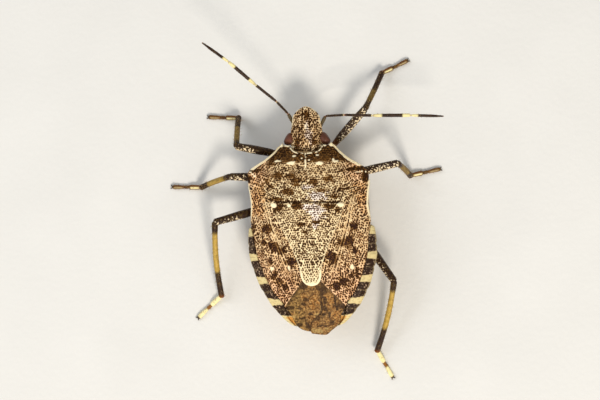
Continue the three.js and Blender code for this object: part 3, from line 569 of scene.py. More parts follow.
class Finish:
    """A material under way: patterns are sockets, and the last call joins them to the surface."""

    def __init__(self, name, **surface):
        self.material = bpy.data.materials.new(name)
        self.material.use_nodes = True
        self.tree = self.material.node_tree
        self.shader = self.tree.nodes["Principled BSDF"]
        for socket, value in surface.items():
            self.shader.inputs[socket.replace("_", " ").title().replace("Ior", "IOR")].default_value = value
        self.place = self.add("TexCoord", output="Object")

    def add(self, kind, inputs=(), output=0, **settings):
        """Adds a node with its settings, fills its inputs in turn or by key, and gives one output."""
        made = self.tree.nodes.new("ShaderNode" + kind)
        for key, value in settings.items():
            setattr(made, key, value)
        for key, value in (inputs if isinstance(inputs, dict) else dict(enumerate(inputs))).items():
            if isinstance(value, bpy.types.NodeSocket):
                self.tree.links.new(value, made.inputs[key])
            else:
                made.inputs[key].default_value = linear(value) if isinstance(value, str) else value
        return made.outputs[output]

    def mark(self, name, strength=1.0):
        """A mark painted on the piece's points, at full strength or less."""
        level = self.add("Attribute", attribute_name=name, output="Fac")
        return self.add("Math", (level, strength), operation="MULTIPLY")

    def clouds(self, millimetres, low=0.0, high=1.0, detail=2):
        """Cloudy values of a real size, from low to high."""
        texture = self.add("TexNoise", {"Vector": self.place, "Scale": 1 / (millimetres * MM),
                                        "Detail": detail})
        return self.add("MapRange", (texture, *NOISE_RANGE, low, high))

    def dots(self, millimetres, radius, strength=1.0):
        """Round dots of a real spacing, with a radius that is a share of it."""
        cells = self.add("TexVoronoi", {"Vector": self.place, "Scale": 1 / (millimetres * MM),
                                        "Randomness": DOT_SCATTER}, output="Distance")
        return self.add("MapRange", (cells, radius * DOT_EDGE[0], radius * DOT_EDGE[1], 0.0, strength))

    def coats(self, base, *coats):
        """A base colour under coats, each of which is a share and a colour."""
        for share, colour in coats:
            base = self.add("Mix", {0: share, 6: base, 7: colour}, output=2, data_type="RGBA")
        return base

    def done(self, colour, relief, height, roughness=None):
        """Joins colour, relief of a height in millimetres and roughness to the surface."""
        raised = self.add("Bump", {"Height": relief, "Distance": height * MM})
        for socket, value in (("Base Color", colour), ("Normal", raised), ("Roughness", roughness)):
            if value:
                self.tree.links.new(value, self.shader.inputs[socket])
        return self.material


def punctate_cuticle(name, tan_share, blotch=None, russet=0.0):
    """Sclerotised chitin, pitted as it hardened: cream ridges wind between dark pits and catch soft light."""
    colours = bpy.context.scene.cuticle
    made = Finish(name, ior=1.56, specular_ior_level=0.07)
    rosy = made.add("MapRange", (made.mark("tone"), 0.0, -1.0, 0.0, 1.0))
    ring = made.coats(colours.amber, (made.clouds(0.4, 0.2 * russet, russet), colours.russet))
    # The marbling is tanned in two stages, so that every dark mark has a brown edge
    marbling = made.add("Math", (made.mark("dark"), made.clouds(0.12, 0.5, 1.22)), operation="MULTIPLY")
    whole = made.coats(
        colours.cream,
        (made.mark("tone"), colours.straw),
        (rosy, colours.rose),
        (made.clouds(0.32, 0.0, tan_share, 3), colours.tan),
        (made.mark("gold", 0.42), colours.gold),
        # Painted highlight: the network turns whitish where the back is painted as if lit
        (made.mark("bloom", 0.85), colours.bloom),
        (made.mark("ring", 0.8), ring),
        (made.add("MapRange", (marbling, 0.0, 0.55, 0.0, 1.0)), colours.brown),
        (made.add("MapRange", (marbling, 0.45, 0.95, 0.0, 1.0)), blotch or colours.blotch),
        (made.mark("pit"), colours.puncture),
        (made.mark("pale"), colours.callus))
    # A waxy coat varies the gloss over about a tenth of a millimetre
    gloss = made.add("Math", (made.clouds(0.1, 0.38, 0.56), made.mark("pit", 0.2)), operation="ADD")
    return made.done(whole, made.clouds(0.035), 0.006, gloss)


def membrane_cuticle():
    """Thin unpitted wing chitin: ochre brown, finely crinkled and freckled, smoother than the coria."""
    made = Finish("Wing membrane, thin ochre chitin", roughness=0.45, ior=1.5, specular_ior_level=0.15)
    whole = made.coats(
        bpy.context.scene.cuticle.membrane,
        (made.clouds(0.5, -0.1, 1.1), "#56360f"),
        (made.mark("olive", 0.55), "#7a6a34"),
        (made.mark("amber", 0.58), "#b07029"),
        (made.clouds(0.14, -0.2, 1.0, 3), "#c4985a"),
        (made.clouds(0.12, -0.3, 1.0, 3), "#3a2007"),
        # The dark coat holds the membranes' dark marks and painted shadow at the upper membrane's edge and
        # under the coria
        (made.mark("dark", 0.84), "#2a1605"),
        (made.mark("pale", 0.6), "#b99c60"))
    return made.done(whole, made.clouds(0.1, 0.0, 1.0, 3), 0.02)


def belly_cuticle():
    """Softer chitin of the underside: pale tan, freckled with fine dark punctures, waxy and half matt."""
    made = Finish("Belly and breast, waxy tan chitin", roughness=0.5, ior=1.5, specular_ior_level=0.15)
    freckles = made.add("Math", (made.dots(0.17, 0.3), made.clouds(0.5, 0.2, 0.95)), operation="MULTIPLY")
    specks = made.add("MapRange", (made.clouds(0.13, 0.0, 1.0, 3), 0.62, 0.9, 0.0, 0.8))
    whole = made.coats(
        "#cbab78",
        (made.clouds(0.7), "#b18a5a"),
        (freckles, "#4b2e16"),
        (made.mark("dark"), made.coats("#2c1b10", (specks, "#c0a283"))),
        (made.mark("pale"), made.coats("#dcca93", (made.clouds(0.15, -0.6, 0.5, 3), "#c79a62"))),
        (made.mark("amber"), "#dd9a3c"),
        (made.mark("pit"), bpy.context.scene.cuticle.puncture))
    relief = made.add("Math", (made.clouds(0.06), made.dots(0.17, 0.3)), operation="SUBTRACT")
    return made.done(whole, relief, 0.008)


def leg_cuticle():
    """Hard chitin tubes: umber and ochre in rings, speckled where they meet, with a low waxy gloss."""
    colours = bpy.context.scene.limbs
    made = Finish("Legs, banded brown chitin", roughness=0.45, ior=1.55, specular_ior_level=0.18)
    rings = made.add("Math", (made.clouds(0.14, -0.16, 0.16, 3), made.mark("pale")), operation="ADD")
    specked = made.add("Math", (made.clouds(0.13, 0.0, 1.0, 1), made.mark("speck")), operation="ADD")
    whole = made.coats(
        colours.umber,
        (rings, made.coats(colours.ochre, (made.clouds(0.25), "#cba755"))),
        (made.add("MapRange", (specked, 1.0, 1.1, 0.0, 1.0)), colours.speck),
        (made.mark("rust"), "#8a4d18"),
        # The light coat is the hind feet's own cream and, on the other feet, a painted highlight streak
        (made.mark("light"), "#f7eaae"),
        (made.dots(0.13, 0.2, 0.5), "#1c0f05"))
    relief = made.add("Math", (made.clouds(0.05), made.dots(0.13, 0.22)), operation="SUBTRACT")
    return made.done(whole, relief, 0.008)


def feeler_cuticle():
    """Thin chitin tubes: near-black brown with ivory rings, softly shining."""
    colours = bpy.context.scene.limbs
    made = Finish("Feelers, dark ringed chitin", roughness=0.42, ior=1.55, specular_ior_level=0.2)
    whole = made.coats(colours.feeler, (made.clouds(0.2), "#3d2716"), (made.mark("joint"), "#9c5a24"),
                       (made.mark("pale"), colours.ivory))
    return made.done(whole, made.clouds(0.04), 0.005)


def eye_cornea():
    """Faceted cornea: dull red-brown with a hexagon grain, glossier than the cuticle."""
    made = Finish("Compound eye, red-brown cornea", roughness=0.38, ior=1.45, specular_ior_level=0.3)
    whole = made.coats(bpy.context.scene.cuticle.eye, (made.clouds(0.4), "#6e402a"))
    # Facets are drawn at 0.035 mm, a little coarser than real, so that they show
    return made.done(whole, made.dots(0.035, 0.5), 0.006)


def ocellus_lens():
    """Domed lens over dark red pigment: a small smooth bead."""
    made = Finish("Ocellus, dark red lens", roughness=0.25, ior=1.5)
    return made.done(made.coats("#5a2a18", (made.clouds(0.1), "#6e3822")), made.clouds(0.05), 0.001)


def dark_claw():
    """Tanned claw chitin: almost black, smooth and glossy."""
    made = Finish("Claws and beak tip, black chitin", roughness=0.25, ior=1.56)
    return made.done(made.coats("#1d110a", (made.clouds(0.1), "#3a2415")), made.clouds(0.05), 0.002)


def bristle_hair():
    """Fine golden setae: pale straw, slightly shiny."""
    made = Finish("Bristles, golden setae", roughness=0.35, ior=1.55)
    return made.done(made.coats("#b99a62", (made.clouds(0.2), "#8a6a3c")), made.clouds(0.03), 0.001)


def weighed(weights, **features):
    """A base value plus every feature at its own weight, such as its height in millimetres."""
    return weights["base"] + sum(weights[name] * level for name, level in features.items())


def swelling(value, middle, half_width):
    """A rounded bump of height 1 at its middle that ends at its half width."""
    return bump((value - middle) / half_width)


def rounded_ends(place, start, end, front, back):
    """The share of its full girth that a form has between two ends, each rounded over a length."""
    nose = 1 - np.clip((place - start) / front, 0, 1)
    tail = np.clip((place - end + back) / back, 0, 1)
    return np.sqrt(1 - nose ** 2) * np.sqrt(1 - tail ** 2)


def on_back(x, y, height, pit, marks):
    """Sets a plate's points on the arched back, sunk by their pits, and hands on their marks."""
    depth = bpy.context.scene.cuticle.depth / MM
    return from_body(np.stack([x, y, back_height(x, y) + height - depth * pit], 1)), marks


PRONOTUM_RISE = rises(
    rim_growth=(2.8, 4), rim_edge=(0.03, -0.03), rim_end=(0.05, -0.05), collar=(0.09, 0.05),
    collar_end=(0.95, 0.88), collar_gaps=(0.25, 0.45), midline=(0.075, 0.03), midline_gaps=(0.15, 0.35),
    midline_rear=(4.4, 4.1), midline_front=(3.1, 3.3), band_rear=(4, 3.7), band_end=(2.9, 2.5),
    hind=(0.15, 0.1), hind_end=(2.4, 2.2), fan=(1.6, 3.2), calm=(0.25, 0.5), rear_roll=(1, 0.98),
    straw=(4.6, 6), rosy=(2, 3.6))
PRONOTUM_HEIGHT = {"base": 0.05, "rim": 0.07, "collar": 0.03, "callus": 0.07, "dent": -0.06, "pale": 0.02,
                   "nape": 0.02}
# The pits shrink under the painted highlight, so that it reads paler
PRONOTUM_PITS = {"base": 0.87, "clouds": 0.28, "bloom": -0.1}
PRONOTUM_TONE = {"base": 0, "straw": 0.9, "rosy": -1.1}
PRONOTUM_RIM = {"width": 0.13, "growth": 0.2, "ragged": 0.06, "end": 4.23, "skew": 0.07}
CALLUS = (1.15, 3.6, 0.95, 0.42)
# Middle and half length of the swelling behind the head, and of the dent behind the calli
NAPE = (3.72, 0.5)
DENT = (4.25, 0.3)
MIDLINE = {"x": 0.03, "ragged": 0.05}
# The rows of pits fan out towards the shoulders, beyond this distance from the middle
FAN = {"slope": 0.35, "from": 2}


def pronotum_place(u, v):
    """The pronotum: a pale rim at each side, a notched front and two smooth calli behind the head."""
    rise = PRONOTUM_RISE
    u = 2 * crowded(u) - 1
    v = crowded(v, 0.4)
    reach = np.abs(u)
    front = FRONT_EDGE(reach)
    back = PRONOTUM_BACK - BACK_TILT * u
    y = front + (back - front) * v
    x = u * PRONOTUM_HALF(y)
    out = np.abs(x)
    side = (1 - reach) * PRONOTUM_HALF(y)
    rim_width = PRONOTUM_RIM["width"] + PRONOTUM_RIM["growth"] * rise("rim_growth", y)
    rim_width += PRONOTUM_RIM["ragged"] * sway(x, y, 0.2, 7)
    rim_end = PRONOTUM_RIM["end"] + PRONOTUM_RIM["skew"] * np.sign(x)
    rim = rise("rim_edge", side - rim_width) * rise("rim_end", y - rim_end)
    collar = rise("collar", y - front) * rise("collar_end", reach)
    callus = bump(oval(out, y, CALLUS))
    uneven = wander(x, y, 0.12, 6)
    midline = rise("midline", np.abs(x - MIDLINE["x"]) - MIDLINE["ragged"] * (uneven - 0.5))
    midline = midline * rise("midline_gaps", uneven) * rise("midline_rear", y) * rise("midline_front", y)
    broken_collar = collar * rise("collar_gaps", wander(x, y, 0.12, 5))
    pale = np.maximum.reduce([patches(x, y, PRONOTUM_PALE, 0.6), rim, broken_collar, midline])
    band = rise("band_rear", y) * rise("band_end", out)
    # Painted shadow: a thin dark line along the rear edge, where the pronotum overlaps the scutellum
    hind = rise("hind", back - y) * rise("hind_end", out)
    # Painted highlight on the rear of the pronotum
    bloom = patches(x, y, PRONOTUM_HIGHLIGHT, 0.8)
    dark = np.maximum.reduce([patches(x, y, PRONOTUM_DARK, 0.9) * 0.76, patches(x, y, SHOULDER_DARK, 0.6),
                              band * 0.84, hind])
    fanned = y + FAN["slope"] * (out - FAN["from"]) * rise("fan", out)
    size = weighed(PRONOTUM_PITS, clouds=wander(x, y, 0.55, 11), bloom=bloom)
    pit, ring = punctures(x, fanned, size, 0.32, 1, np.maximum(pale, 0.5 * rise("calm", callus)))
    height = weighed(PRONOTUM_HEIGHT, rim=rim, collar=collar, callus=callus,
                     dent=swelling(y, *DENT) * (1 - u * u), pale=pale, nape=swelling(y, *NAPE))
    height -= rolled(side, 0.1) + rolled(back - y, 0.08) * rise("rear_roll", reach)
    tone = weighed(PRONOTUM_TONE, straw=rise("straw", y), rosy=rise("rosy", out))
    # The painted shadow line at the rear edge is laid in as puncture brown too
    marks = {"pit": np.maximum(pit, hind), "ring": ring, "dark": dark, "pale": pale, "tone": tone,
             "bloom": bloom, "gold": patches(x, y, PRONOTUM_GOLD, 0.9)}
    return on_back(x, y, height, pit, marks)


def scutellum_middle(y):
    """How far the scutellum's middle line bends to the left."""
    return SCUTELLUM_BEND["shift"] * step(y, SCUTELLUM_BEND["from"], SCUTELLUM_BEND["to"])


SCUTELLUM_RISE = rises(behind=(-0.3, 0.3), lip=(0.21, 0.08), tip=(12.18, 12.36), margin=(0.1, 0.05),
                       margin_start=(7.2, 7.6), finer_pits=(11, 12), parted_pits=(10.8, 11.6),
                       root=(6.78, 6.6), straw=(7.5, 11))
SCUTELLUM_HEIGHT = {"base": 0.03, "swell": 0.05, "calli": 0.05, "root": -0.09}
# The pits shrink under the painted highlight, so that it reads paler
SCUTELLUM_PITS = {"base": 0.87, "clouds": 0.2, "tip": -0.16, "bloom": -0.14}
SCUTELLUM_TONE = {"base": 0.45, "straw": 0.55}
SCUTELLUM_SWELL = (7.2, 2.2)


def scutellum_place(u, v):
    """The scutellum: a long shield with small calli in its front corners and a smooth pale tip."""
    rise = SCUTELLUM_RISE
    u = 2 * crowded(u) - 1
    start, end = SCUTELLUM_ENDS
    y = start + (end - start) * (v - 0.12 * np.sin(math.pi * v) * v)
    half = SCUTELLUM_HALF(y)
    x = u * half + scutellum_middle(y)
    side = (1 - np.abs(u)) * half
    lip = rise("lip", side + 0.04 * sway(x, y, 0.15, 22)) * rise("behind", y - SCUTELLUM_TIP_START)
    tip = np.maximum(lip, rise("tip", y))
    margin = 0.3 * rise("margin", side) * rise("margin_start", y)
    pale = np.maximum.reduce([patches(x, y, SCUTELLUM_PALE, 0.5), tip * 0.9, margin])
    dark = patches(x, y, SCUTELLUM_DARK, 0.9) * 0.93
    # Painted highlight on the base of the scutellum
    bloom = patches(x, y, SCUTELLUM_HIGHLIGHT, 0.9)
    size = weighed(SCUTELLUM_PITS, clouds=wander(x, y, 0.6, 21), tip=rise("finer_pits", y), bloom=bloom)
    joining = 0.3 - 0.25 * rise("parted_pits", y)
    pit, ring = punctures(x, y, size, joining, 2, np.clip(pale * 1.2, 0, 1))
    height = weighed(SCUTELLUM_HEIGHT, swell=swelling(y, *SCUTELLUM_SWELL) * (1 - u * u),
                     calli=patches(x, y, SCUTELLUM_PALE[:2], 0), root=rise("root", y + BACK_TILT * u))
    tone = weighed(SCUTELLUM_TONE, straw=rise("straw", y))
    marks = {"pit": pit, "ring": ring, "dark": dark, "pale": pale, "tone": tone, "bloom": bloom}
    return on_back(x, y, height - rolled(side, 0.1), pit, marks)


CORIUM_RISE = rises(
    suture=(0.06, 0.03), suture_end=(0.98, 0.9), beside=(0.06, 0.03), beside_end=(0.9, 0.75),
    vein=(0.1, 0.03), vein_end=(0.75, 0.5), costa=(0.14, 0.07), costa_end=(8.1, 7.2), end_line=(0.1, 0.04),
    end_gap=(0.02, 0.05), end_dark=(0.07, 0.02), end_drop=(0.1, 0), root=(6.9, 6.6), fold=(0.3, 0),
    straw=(0.4, 0.1), rosy=(9.5, 13))
CORIUM_HEIGHT = {"base": -0.03, "veins": 0.04, "costa": 0.03, "suture": -0.05, "root": -0.1, "fold": -0.1,
                 "end": -0.06}
CORIUM_PITS = {"base": 0.88, "clouds": 0.26}
CORIUM_TONE = {"base": -0.15, "straw": 0.3, "rosy": -0.8}
# How far a corium runs under the scutellum, how long it is, and how far its rows of pits turn
SHIELD_OVERLAP = 0.06
CORIUM_LENGTH = 7
PIT_ROW_TURN = 0.35
# The smooth lines beside the suture, and the front of the wing where it dips under the pronotum
BESIDE_SUTURE = 0.1
SHOULDER_FOLD = {"y": 5.45, "x": 4.1, "slope": 0.62}


def corium_place(side, name):
    """The stiff part of one forewing, from beside the scutellum out to the costal edge."""
    rise = CORIUM_RISE

    def place(u, v):
        u, v = crowded(u, 0.5), crowded(v, 0.3)
        inner = WING_ROOT["inner"] + (WING_END["inner"] - WING_ROOT["inner"]) * v
        outer = WING_ROOT["outer"] + (WING_END["outer"] - WING_ROOT["outer"]) * v
        beside_shield = SCUTELLUM_HALF(inner) - SHIELD_OVERLAP + side * scutellum_middle(inner)
        x = beside_shield * (1 - u) + WING_HALF(outer) * u
        y = inner * (1 - u) + outer * u
        across = WING_HALF(outer) - beside_shield
        from_costa = (1 - u) * across
        from_suture = np.abs(u - CLAVUS_EDGE) * across
        suture = rise("suture", from_suture) * rise("suture_end", v)
        beside = rise("beside", np.abs(from_suture - BESIDE_SUTURE)) * rise("beside_end", v)
        veins = sum(rise("vein", np.abs(u - vein) * across) for vein in WING_VEINS) * rise("vein_end", v)
        costa = rise("costa", from_costa) * rise("costa_end", y)
        end = (1 - v) * CORIUM_LENGTH
        body_x = side * x
        pale = np.maximum.reduce([0.8 * patches(body_x, y, WING_PALE[name], 0.6), costa,
                                  0.15 * rise("end_line", end) * rise("end_gap", end)])
        dark = np.maximum(patches(body_x, y, WING_DARK[name], 0.9) * (1.08 - 0.5 * beside),
                          0.5 * rise("end_dark", end))
        lengthwise = body_x * math.cos(PIT_ROW_TURN) + side * y * math.sin(PIT_ROW_TURN)
        crosswise = y * math.cos(PIT_ROW_TURN) - side * body_x * math.sin(PIT_ROW_TURN)
        size = weighed(CORIUM_PITS, clouds=wander(body_x, y, 0.5, 37))
        smooth = np.clip(np.maximum(pale * 1.2, 0.85 * beside), 0, 1)
        pit, ring = punctures(crosswise, lengthwise, size, 0.32, 3 + side, smooth)
        fold = rise("fold", y - SHOULDER_FOLD["y"] - SHOULDER_FOLD["slope"] * (SHOULDER_FOLD["x"] - x))
        height = weighed(CORIUM_HEIGHT, veins=veins, costa=costa, suture=suture, root=rise("root", y),
                         fold=fold, end=rise("end_drop", end))
        height -= rolled(from_costa, 0.1) + rolled(u * across, 0.06)
        tone = weighed(CORIUM_TONE, straw=rise("straw", u), rosy=rise("rosy", y))
        marks = {"pit": pit, "ring": ring, "dark": dark, "pale": pale, "tone": tone,
                 "gold": patches(body_x, y, WING_GOLD[name], 0.9)}
        return on_back(body_x, y, height, pit, marks)
    return place


def past_coria(x, y):
    """How far a point lies behind the straight rear edges of the coria."""
    run_y = WING_END["outer"] - WING_END["inner"]
    start = SCUTELLUM_HALF(WING_END["inner"])
    run_x = WING_HALF(WING_END["outer"]) - start
    return ((y - WING_END["inner"]) * run_x - (np.abs(x) - start) * run_y) / math.hypot(run_x, run_y)


def edge_curve(points):
    """A smooth curve through a membrane's edge points, by its share from the first to the last."""
    spaced = np.linspace(0, 1, len(points))
    xs, ys = (through(*zip(spaced, values)) for values in zip(*points))
    return lambda share: np.stack([xs(share), ys(share)], 1)


MEMBRANE_RISE = rises(vein_end=(1, 0.85), rim=(0.05, -0.05), rim_start=(0.2, 0.4), edge=(0.05, 0),
                      beside_coria=(0.2, 0.02), olive=(0.4, 1.3), ripple=(0, 0.3))
MEMBRANE_HEIGHT = {"base": 0, "vein": 0.015, "ripple": 0.03}
# Painted shadow along the upper membrane's inner edge: its width and how raggedly it varies
MEMBRANE_RIM_SHADOW = {"width": 0.2, "ragged": 0.14}
MEMBRANE_VEIN = {"half_width": 0.05, "sway": 0.05, "bends": 5}
# About how long a membrane is behind the coria
MEMBRANE_LENGTH = 3


def membrane_place(edges, drop, veins, rim_shade):
    """One wing membrane between its two edges, rippled and veined, a drop below the back, with a painted
    shadow along its inner edge as strong as rim_shade.
    """
    rise = MEMBRANE_RISE
    inner, outer = edge_curve(edges["inner"]), edge_curve(edges["outer"])

    def vein_at(at, u, v, width):
        path = at + MEMBRANE_VEIN["sway"] * np.sin(MEMBRANE_VEIN["bends"] * v + at)
        return swelling((u - path) * width, 0, MEMBRANE_VEIN["half_width"])

    def place(u, v):
        near, far = inner(v), outer(v)
        x, y = (near * (1 - u[:, None]) + far * u[:, None]).T
        width = np.linalg.norm(far - near, axis=1)
        vein = sum(vein_at(at, u, v, width) for at in veins) * rise("vein_end", v)
        vein = np.minimum(vein, 1)
        edge = np.minimum(np.minimum(u, 1 - u) * width, (1 - v) * MEMBRANE_LENGTH)
        rim_width = MEMBRANE_RIM_SHADOW["width"] + MEMBRANE_RIM_SHADOW["ragged"] * sway(x, y, 0.3, 53)
        # Painted shadow: a dark band along the inner edge of the upper membrane
        rim = rim_shade * rise("rim", u * width - rim_width) * rise("rim_start", v)
        # Painted shadow: a dark band on the membrane just behind the rear edges of the coria
        dark = np.maximum.reduce([patches(x, y, MEMBRANE_DARK_AND_SHADOW, 0.8) * 0.95, 0.3 * vein, rim,
                                  0.6 * rise("edge", edge), 0.75 * rise("beside_coria", past_coria(x, y))])
        ripple = (sway(x, y, 0.3, 51) + sway(x, y, 0.9, 52)) * rise("ripple", v)
        height = weighed(MEMBRANE_HEIGHT, vein=vein, ripple=ripple) - drop - rolled(edge, 0.05)
        marks = {"dark": dark, "pale": patches(x, y, MEMBRANE_PALE, 0.8) * (1 - dark),
                 "amber": patches(x, y, MEMBRANE_AMBER, 0.9) * (1 - dark),
                 "olive": rise("olive", x + 0.4 * sway(x, y, 0.4, 54))}
        return on_back(x, y, height, 0, marks)
    return place


HEAD_RISE = rises(groove_end=(0.3, 0), groove_start=(0, 0.1), cheek=(0.12, 0.04), cheek_end=(1.5, 1.2),
                  cheek_gaps=(0.3, 0.6), keel_start=(0.4, 0.9), keel_end=(2.9, 2.3), crown=(0, 0.3))
HEAD_PITS = {"base": 0.86, "clouds": 0.3}
# How the pits' pattern is squeezed across the head and along it
HEAD_SQUEEZE = (1.1, 0.95)
# How square the head's section is: its plan, its crown and its underside
HEAD_SQUARENESS = {"side": 0.8, "crown": (2.6, 0.6), "under": (2.4, 0.7)}
# Height, middle and half width of the keels beside the beak, and of the swelling over each temple
BUCCULA = (0.12, (0.22, 0.12))
TEMPLE = (0.05, (0.62, 0.3))


def head_place(share, angle):
    """The head: pitted above, with a groove inside each cheek, and two keels for the beak below."""
    rise = HEAD_RISE
    start, end = HEAD_ENDS
    y = start + (end - start) * crowded(share, 0.25)
    blunt = rounded_ends(y, start, end, 0.2, 0.2)
    half = HEAD_HALF(y) * blunt
    sideways, upward = np.cos(angle), np.sin(angle)
    x = half * np.sign(sideways) * np.abs(sideways) ** HEAD_SQUARENESS["side"]
    out = np.abs(x)
    reach = out / np.maximum(half, 1e-6)
    (crown, crown_fall), (under, under_fall) = HEAD_SQUARENESS["crown"], HEAD_SQUARENESS["under"]
    arch = (1 - np.minimum(reach, 1) ** crown) ** crown_fall
    middle = HEAD_SIDE(y)
    top = middle + (HEAD_TOP(y) - middle) * arch * blunt
    bottom = middle - (middle - HEAD_BOTTOM(y)) * (1 - reach ** under) ** under_fall * blunt
    above = upward > 0
    groove_x = CHEEK_GROOVE["x"] + CHEEK_GROOVE["spread"] * y
    groove = step(np.abs(out - groove_x), CHEEK_GROOVE["reach"], CHEEK_GROOVE["edge"])
    groove = groove * rise("groove_end", y - CHEEK_GROOVE["length"]) * rise("groove_start", y)
    cheek_rim = rise("cheek", half - out) * rise("cheek_end", y) * rise("cheek_gaps", wander(x, y, 0.2, 61))
    pale = np.maximum(0.75 * patches(x, y, HEAD_PALE, 1.1), 0.7 * cheek_rim)
    dark = np.maximum.reduce([patches(x, y, HEAD_DARK, 0.9) * 0.85, groove,
                              patches(x, y, HEAD_SIDE_DARK, 1) * 0.3])
    size = weighed(HEAD_PITS, clouds=wander(x, y, 0.5, 62))
    pit, ring = punctures(x * HEAD_SQUEEZE[0], y * HEAD_SQUEEZE[1], size, 0.35, 6, pale)
    depth = bpy.context.scene.cuticle.depth / MM
    keel = BUCCULA[0] * swelling(out, *BUCCULA[1]) * rise("keel_start", y) * rise("keel_end", y)
    relief = TEMPLE[0] * swelling(out, *TEMPLE[1]) - CHEEK_GROOVE["depth"] * groove - depth * pit
    z = np.where(above, top + relief * rise("crown", arch), bottom - keel)
    # The highlight mark is a painted highlight along the crown
    marks = {"pit": pit * above, "ring": ring * above, "dark": dark * above, "pale": pale * above,
             "tone": -0.2, "bloom": 0.8 * patches(x, y, HEAD_HIGHLIGHT, 1) * above}
    return from_body(np.stack([x, y, z], 1)), marks


# How deep the trunk's back lies: under the margin, under the folded wings, at the bare rim, in the breast
UNDER_MARGIN = 0.34
UNDER_WINGS = 0.34
UNDER_RIM = 0.02
UNDER_PRONOTUM = 0.2
# The least thickness of the trunk, and how wide its blunt ends are
TRUNK_THINNEST = 0.1
END_WIDTH = 0.25


def trunk_place(ends, inset, notch, under_back, roundness, paint):
    """A closed trunk section: the back of it lies under the plates, and the belly hangs below."""
    def place(share, angle):
        share = crowded(share, 0.35)
        y = ends[0] + (ends[1] - ends[0]) * share
        blunt = rounded_ends(share, 0, 1, 0.08, 0.05)
        half = (BODY_HALF(y) - inset - notch * near_borders(y, 0.2)) * (END_WIDTH + (1 - END_WIDTH) * blunt)
        turned, upward = np.sign(np.cos(angle)), np.sin(angle)
        rise = np.clip(upward / WALL, -1, 1)
        reach = np.sqrt(1 - np.clip((np.abs(upward) - WALL) / (1 - WALL), 0, 1) ** 2)
        x = turned * half * reach
        top = back_height(x, y) - under_back(np.abs(x), y)
        rim = MARGIN_HEIGHT(y) - UNDER_MARGIN
        belly = KEEL_HEIGHT(y) + (rim - KEEL_HEIGHT(y)) * reach ** roundness
        middle = 0.5 * (rim + top)
        low = np.minimum(belly, top - TRUNK_THINNEST)
        z = 0.5 * (top + low) + 0.5 * (top - low) * rise
        z = middle + (z - middle) * blunt
        side = half - np.abs(x)
        marks, relief = paint(x, y, side, turned * (side - z), upward)
        x = x + turned * WALL_SWELL * (1 - rise ** 2)
        return from_body(np.stack([x, y, z + relief], 1)), marks
    return place


def near_borders(y, half_length):
    """A bump at each border between two segments."""
    return np.maximum.reduce([swelling(y, border, half_length) for border in SEGMENT_BORDERS])


def under_wings(x, y):
    """How far the abdomen's back lies under the folded wings: its flat rim comes up beyond them."""
    beyond = step(x - WING_HALF(y), -0.04, 0.04)
    return UNDER_WINGS * (1 - beyond) + UNDER_RIM * beyond


ABDOMEN_RISE = rises(block=(-0.02, 0.03), suture=(0.035, 0.015), outer=(0.06, 0.02), amber=(0.2, 0.3),
                     last_block=(0, 0.1), spiracle=(0.09, 0.05))
# The pale blocks widen towards the edge of the rim over this width
BLOCK_WEDGE = {"growth": 0.07, "width": 0.5}
# How far a spiracle lies in from the side and ahead of its segment's rear border
SPIRACLE = {"side": 0.75, "ahead": 0.55}


def paint_abdomen(x, y, side, around, upward):
    """Banded rim above, and a pale belly with a dark spiracle on each segment below.

    Around is the way from the back over the steep side to the belly, so that no pattern runs down it.
    """
    rise = ABDOMEN_RISE
    above = upward > 0
    wedge = BLOCK_WEDGE["growth"] * (1 - np.clip(side / BLOCK_WEDGE["width"], 0, 1))
    ragged = 0.05 * sway(x, y, 0.1, 71)
    block = np.maximum.reduce([rise("block", half_length + wedge + ragged - np.abs(y - at))
                               for at, half_length in PALE_BLOCKS])
    wavy = y + 0.08 * sway(x, y, 0.15, 73)
    suture = np.maximum.reduce([rise("suture", np.abs(wavy - border)) for border in SEGMENT_BORDERS])
    visible = above | (side < 0.25)
    pale = np.maximum.reduce([block, 0.12 * suture, 0.25 * rise("outer", side)]) * visible
    last_start = PALE_BLOCKS[-1][0] - PALE_BLOCKS[-1][1]
    amber = 0.85 * rise("amber", side) * rise("last_block", y - last_start) * block * above
    pit = punctures(around, y, 0.7, 0.3, 8, 1 - visible * (1 - 0.75 * pale))[0]
    spiracle = np.maximum.reduce([rise("spiracle", np.hypot(side - SPIRACLE["side"],
                                                            y - border + SPIRACLE["ahead"]))
                                  for border in SEGMENT_BORDERS])
    dark = np.maximum((1 - np.clip(pale, 0, 1)) * visible, spiracle * ~above)
    crease = near_borders(y, 0.06)
    relief = np.where(above, -0.02 * pit - 0.02 * suture, 0.03 * crease + 0.02 * spiracle)
    return {"pit": pit, "dark": dark, "pale": pale, "amber": amber}, relief


THORAX_RISE = rises(breast=(1.2, 2.4), blotch=(0.45, 0.75), blotch_end=(2.6, 0.8), gland=(0.12, 0.05),
                    gland_end=(0.75, 0.6))
# The scent gland's pale furrow, and the seams between the thorax's rings, as middle and half length
GLAND = {"y": 6.55, "side": 1.5, "curl": 0.15, "turns": 2}
THORAX_SEAMS = ((5.6, 0.07), (7.0, 0.06))
THORAX_RELIEF = {"base": 0, "pit": -0.02, "gland": -0.06, "seam": 0.06}


def paint_thorax(x, y, side, around, upward):
    """Pitted brown sides, paler towards the middle of the breast."""
    rise = THORAX_RISE
    pit = punctures(y, around, 0.95, 0.3, 9, rise("breast", side))[0]
    dark = 0.75 * rise("blotch", wander(around, y, 0.5, 81)) * rise("blotch_end", side)
    furrow = GLAND["y"] + GLAND["curl"] * np.sin(side * GLAND["turns"])
    gland = rise("gland", np.abs(y - furrow)) * rise("gland_end", np.abs(side - GLAND["side"]))
    seam = sum(swelling(y, *seam) for seam in THORAX_SEAMS)
    relief = np.where(upward < WALL, weighed(THORAX_RELIEF, pit=pit, gland=gland, seam=seam), 0)
    return {"pit": pit, "dark": dark, "pale": 0.8 * gland}, relief


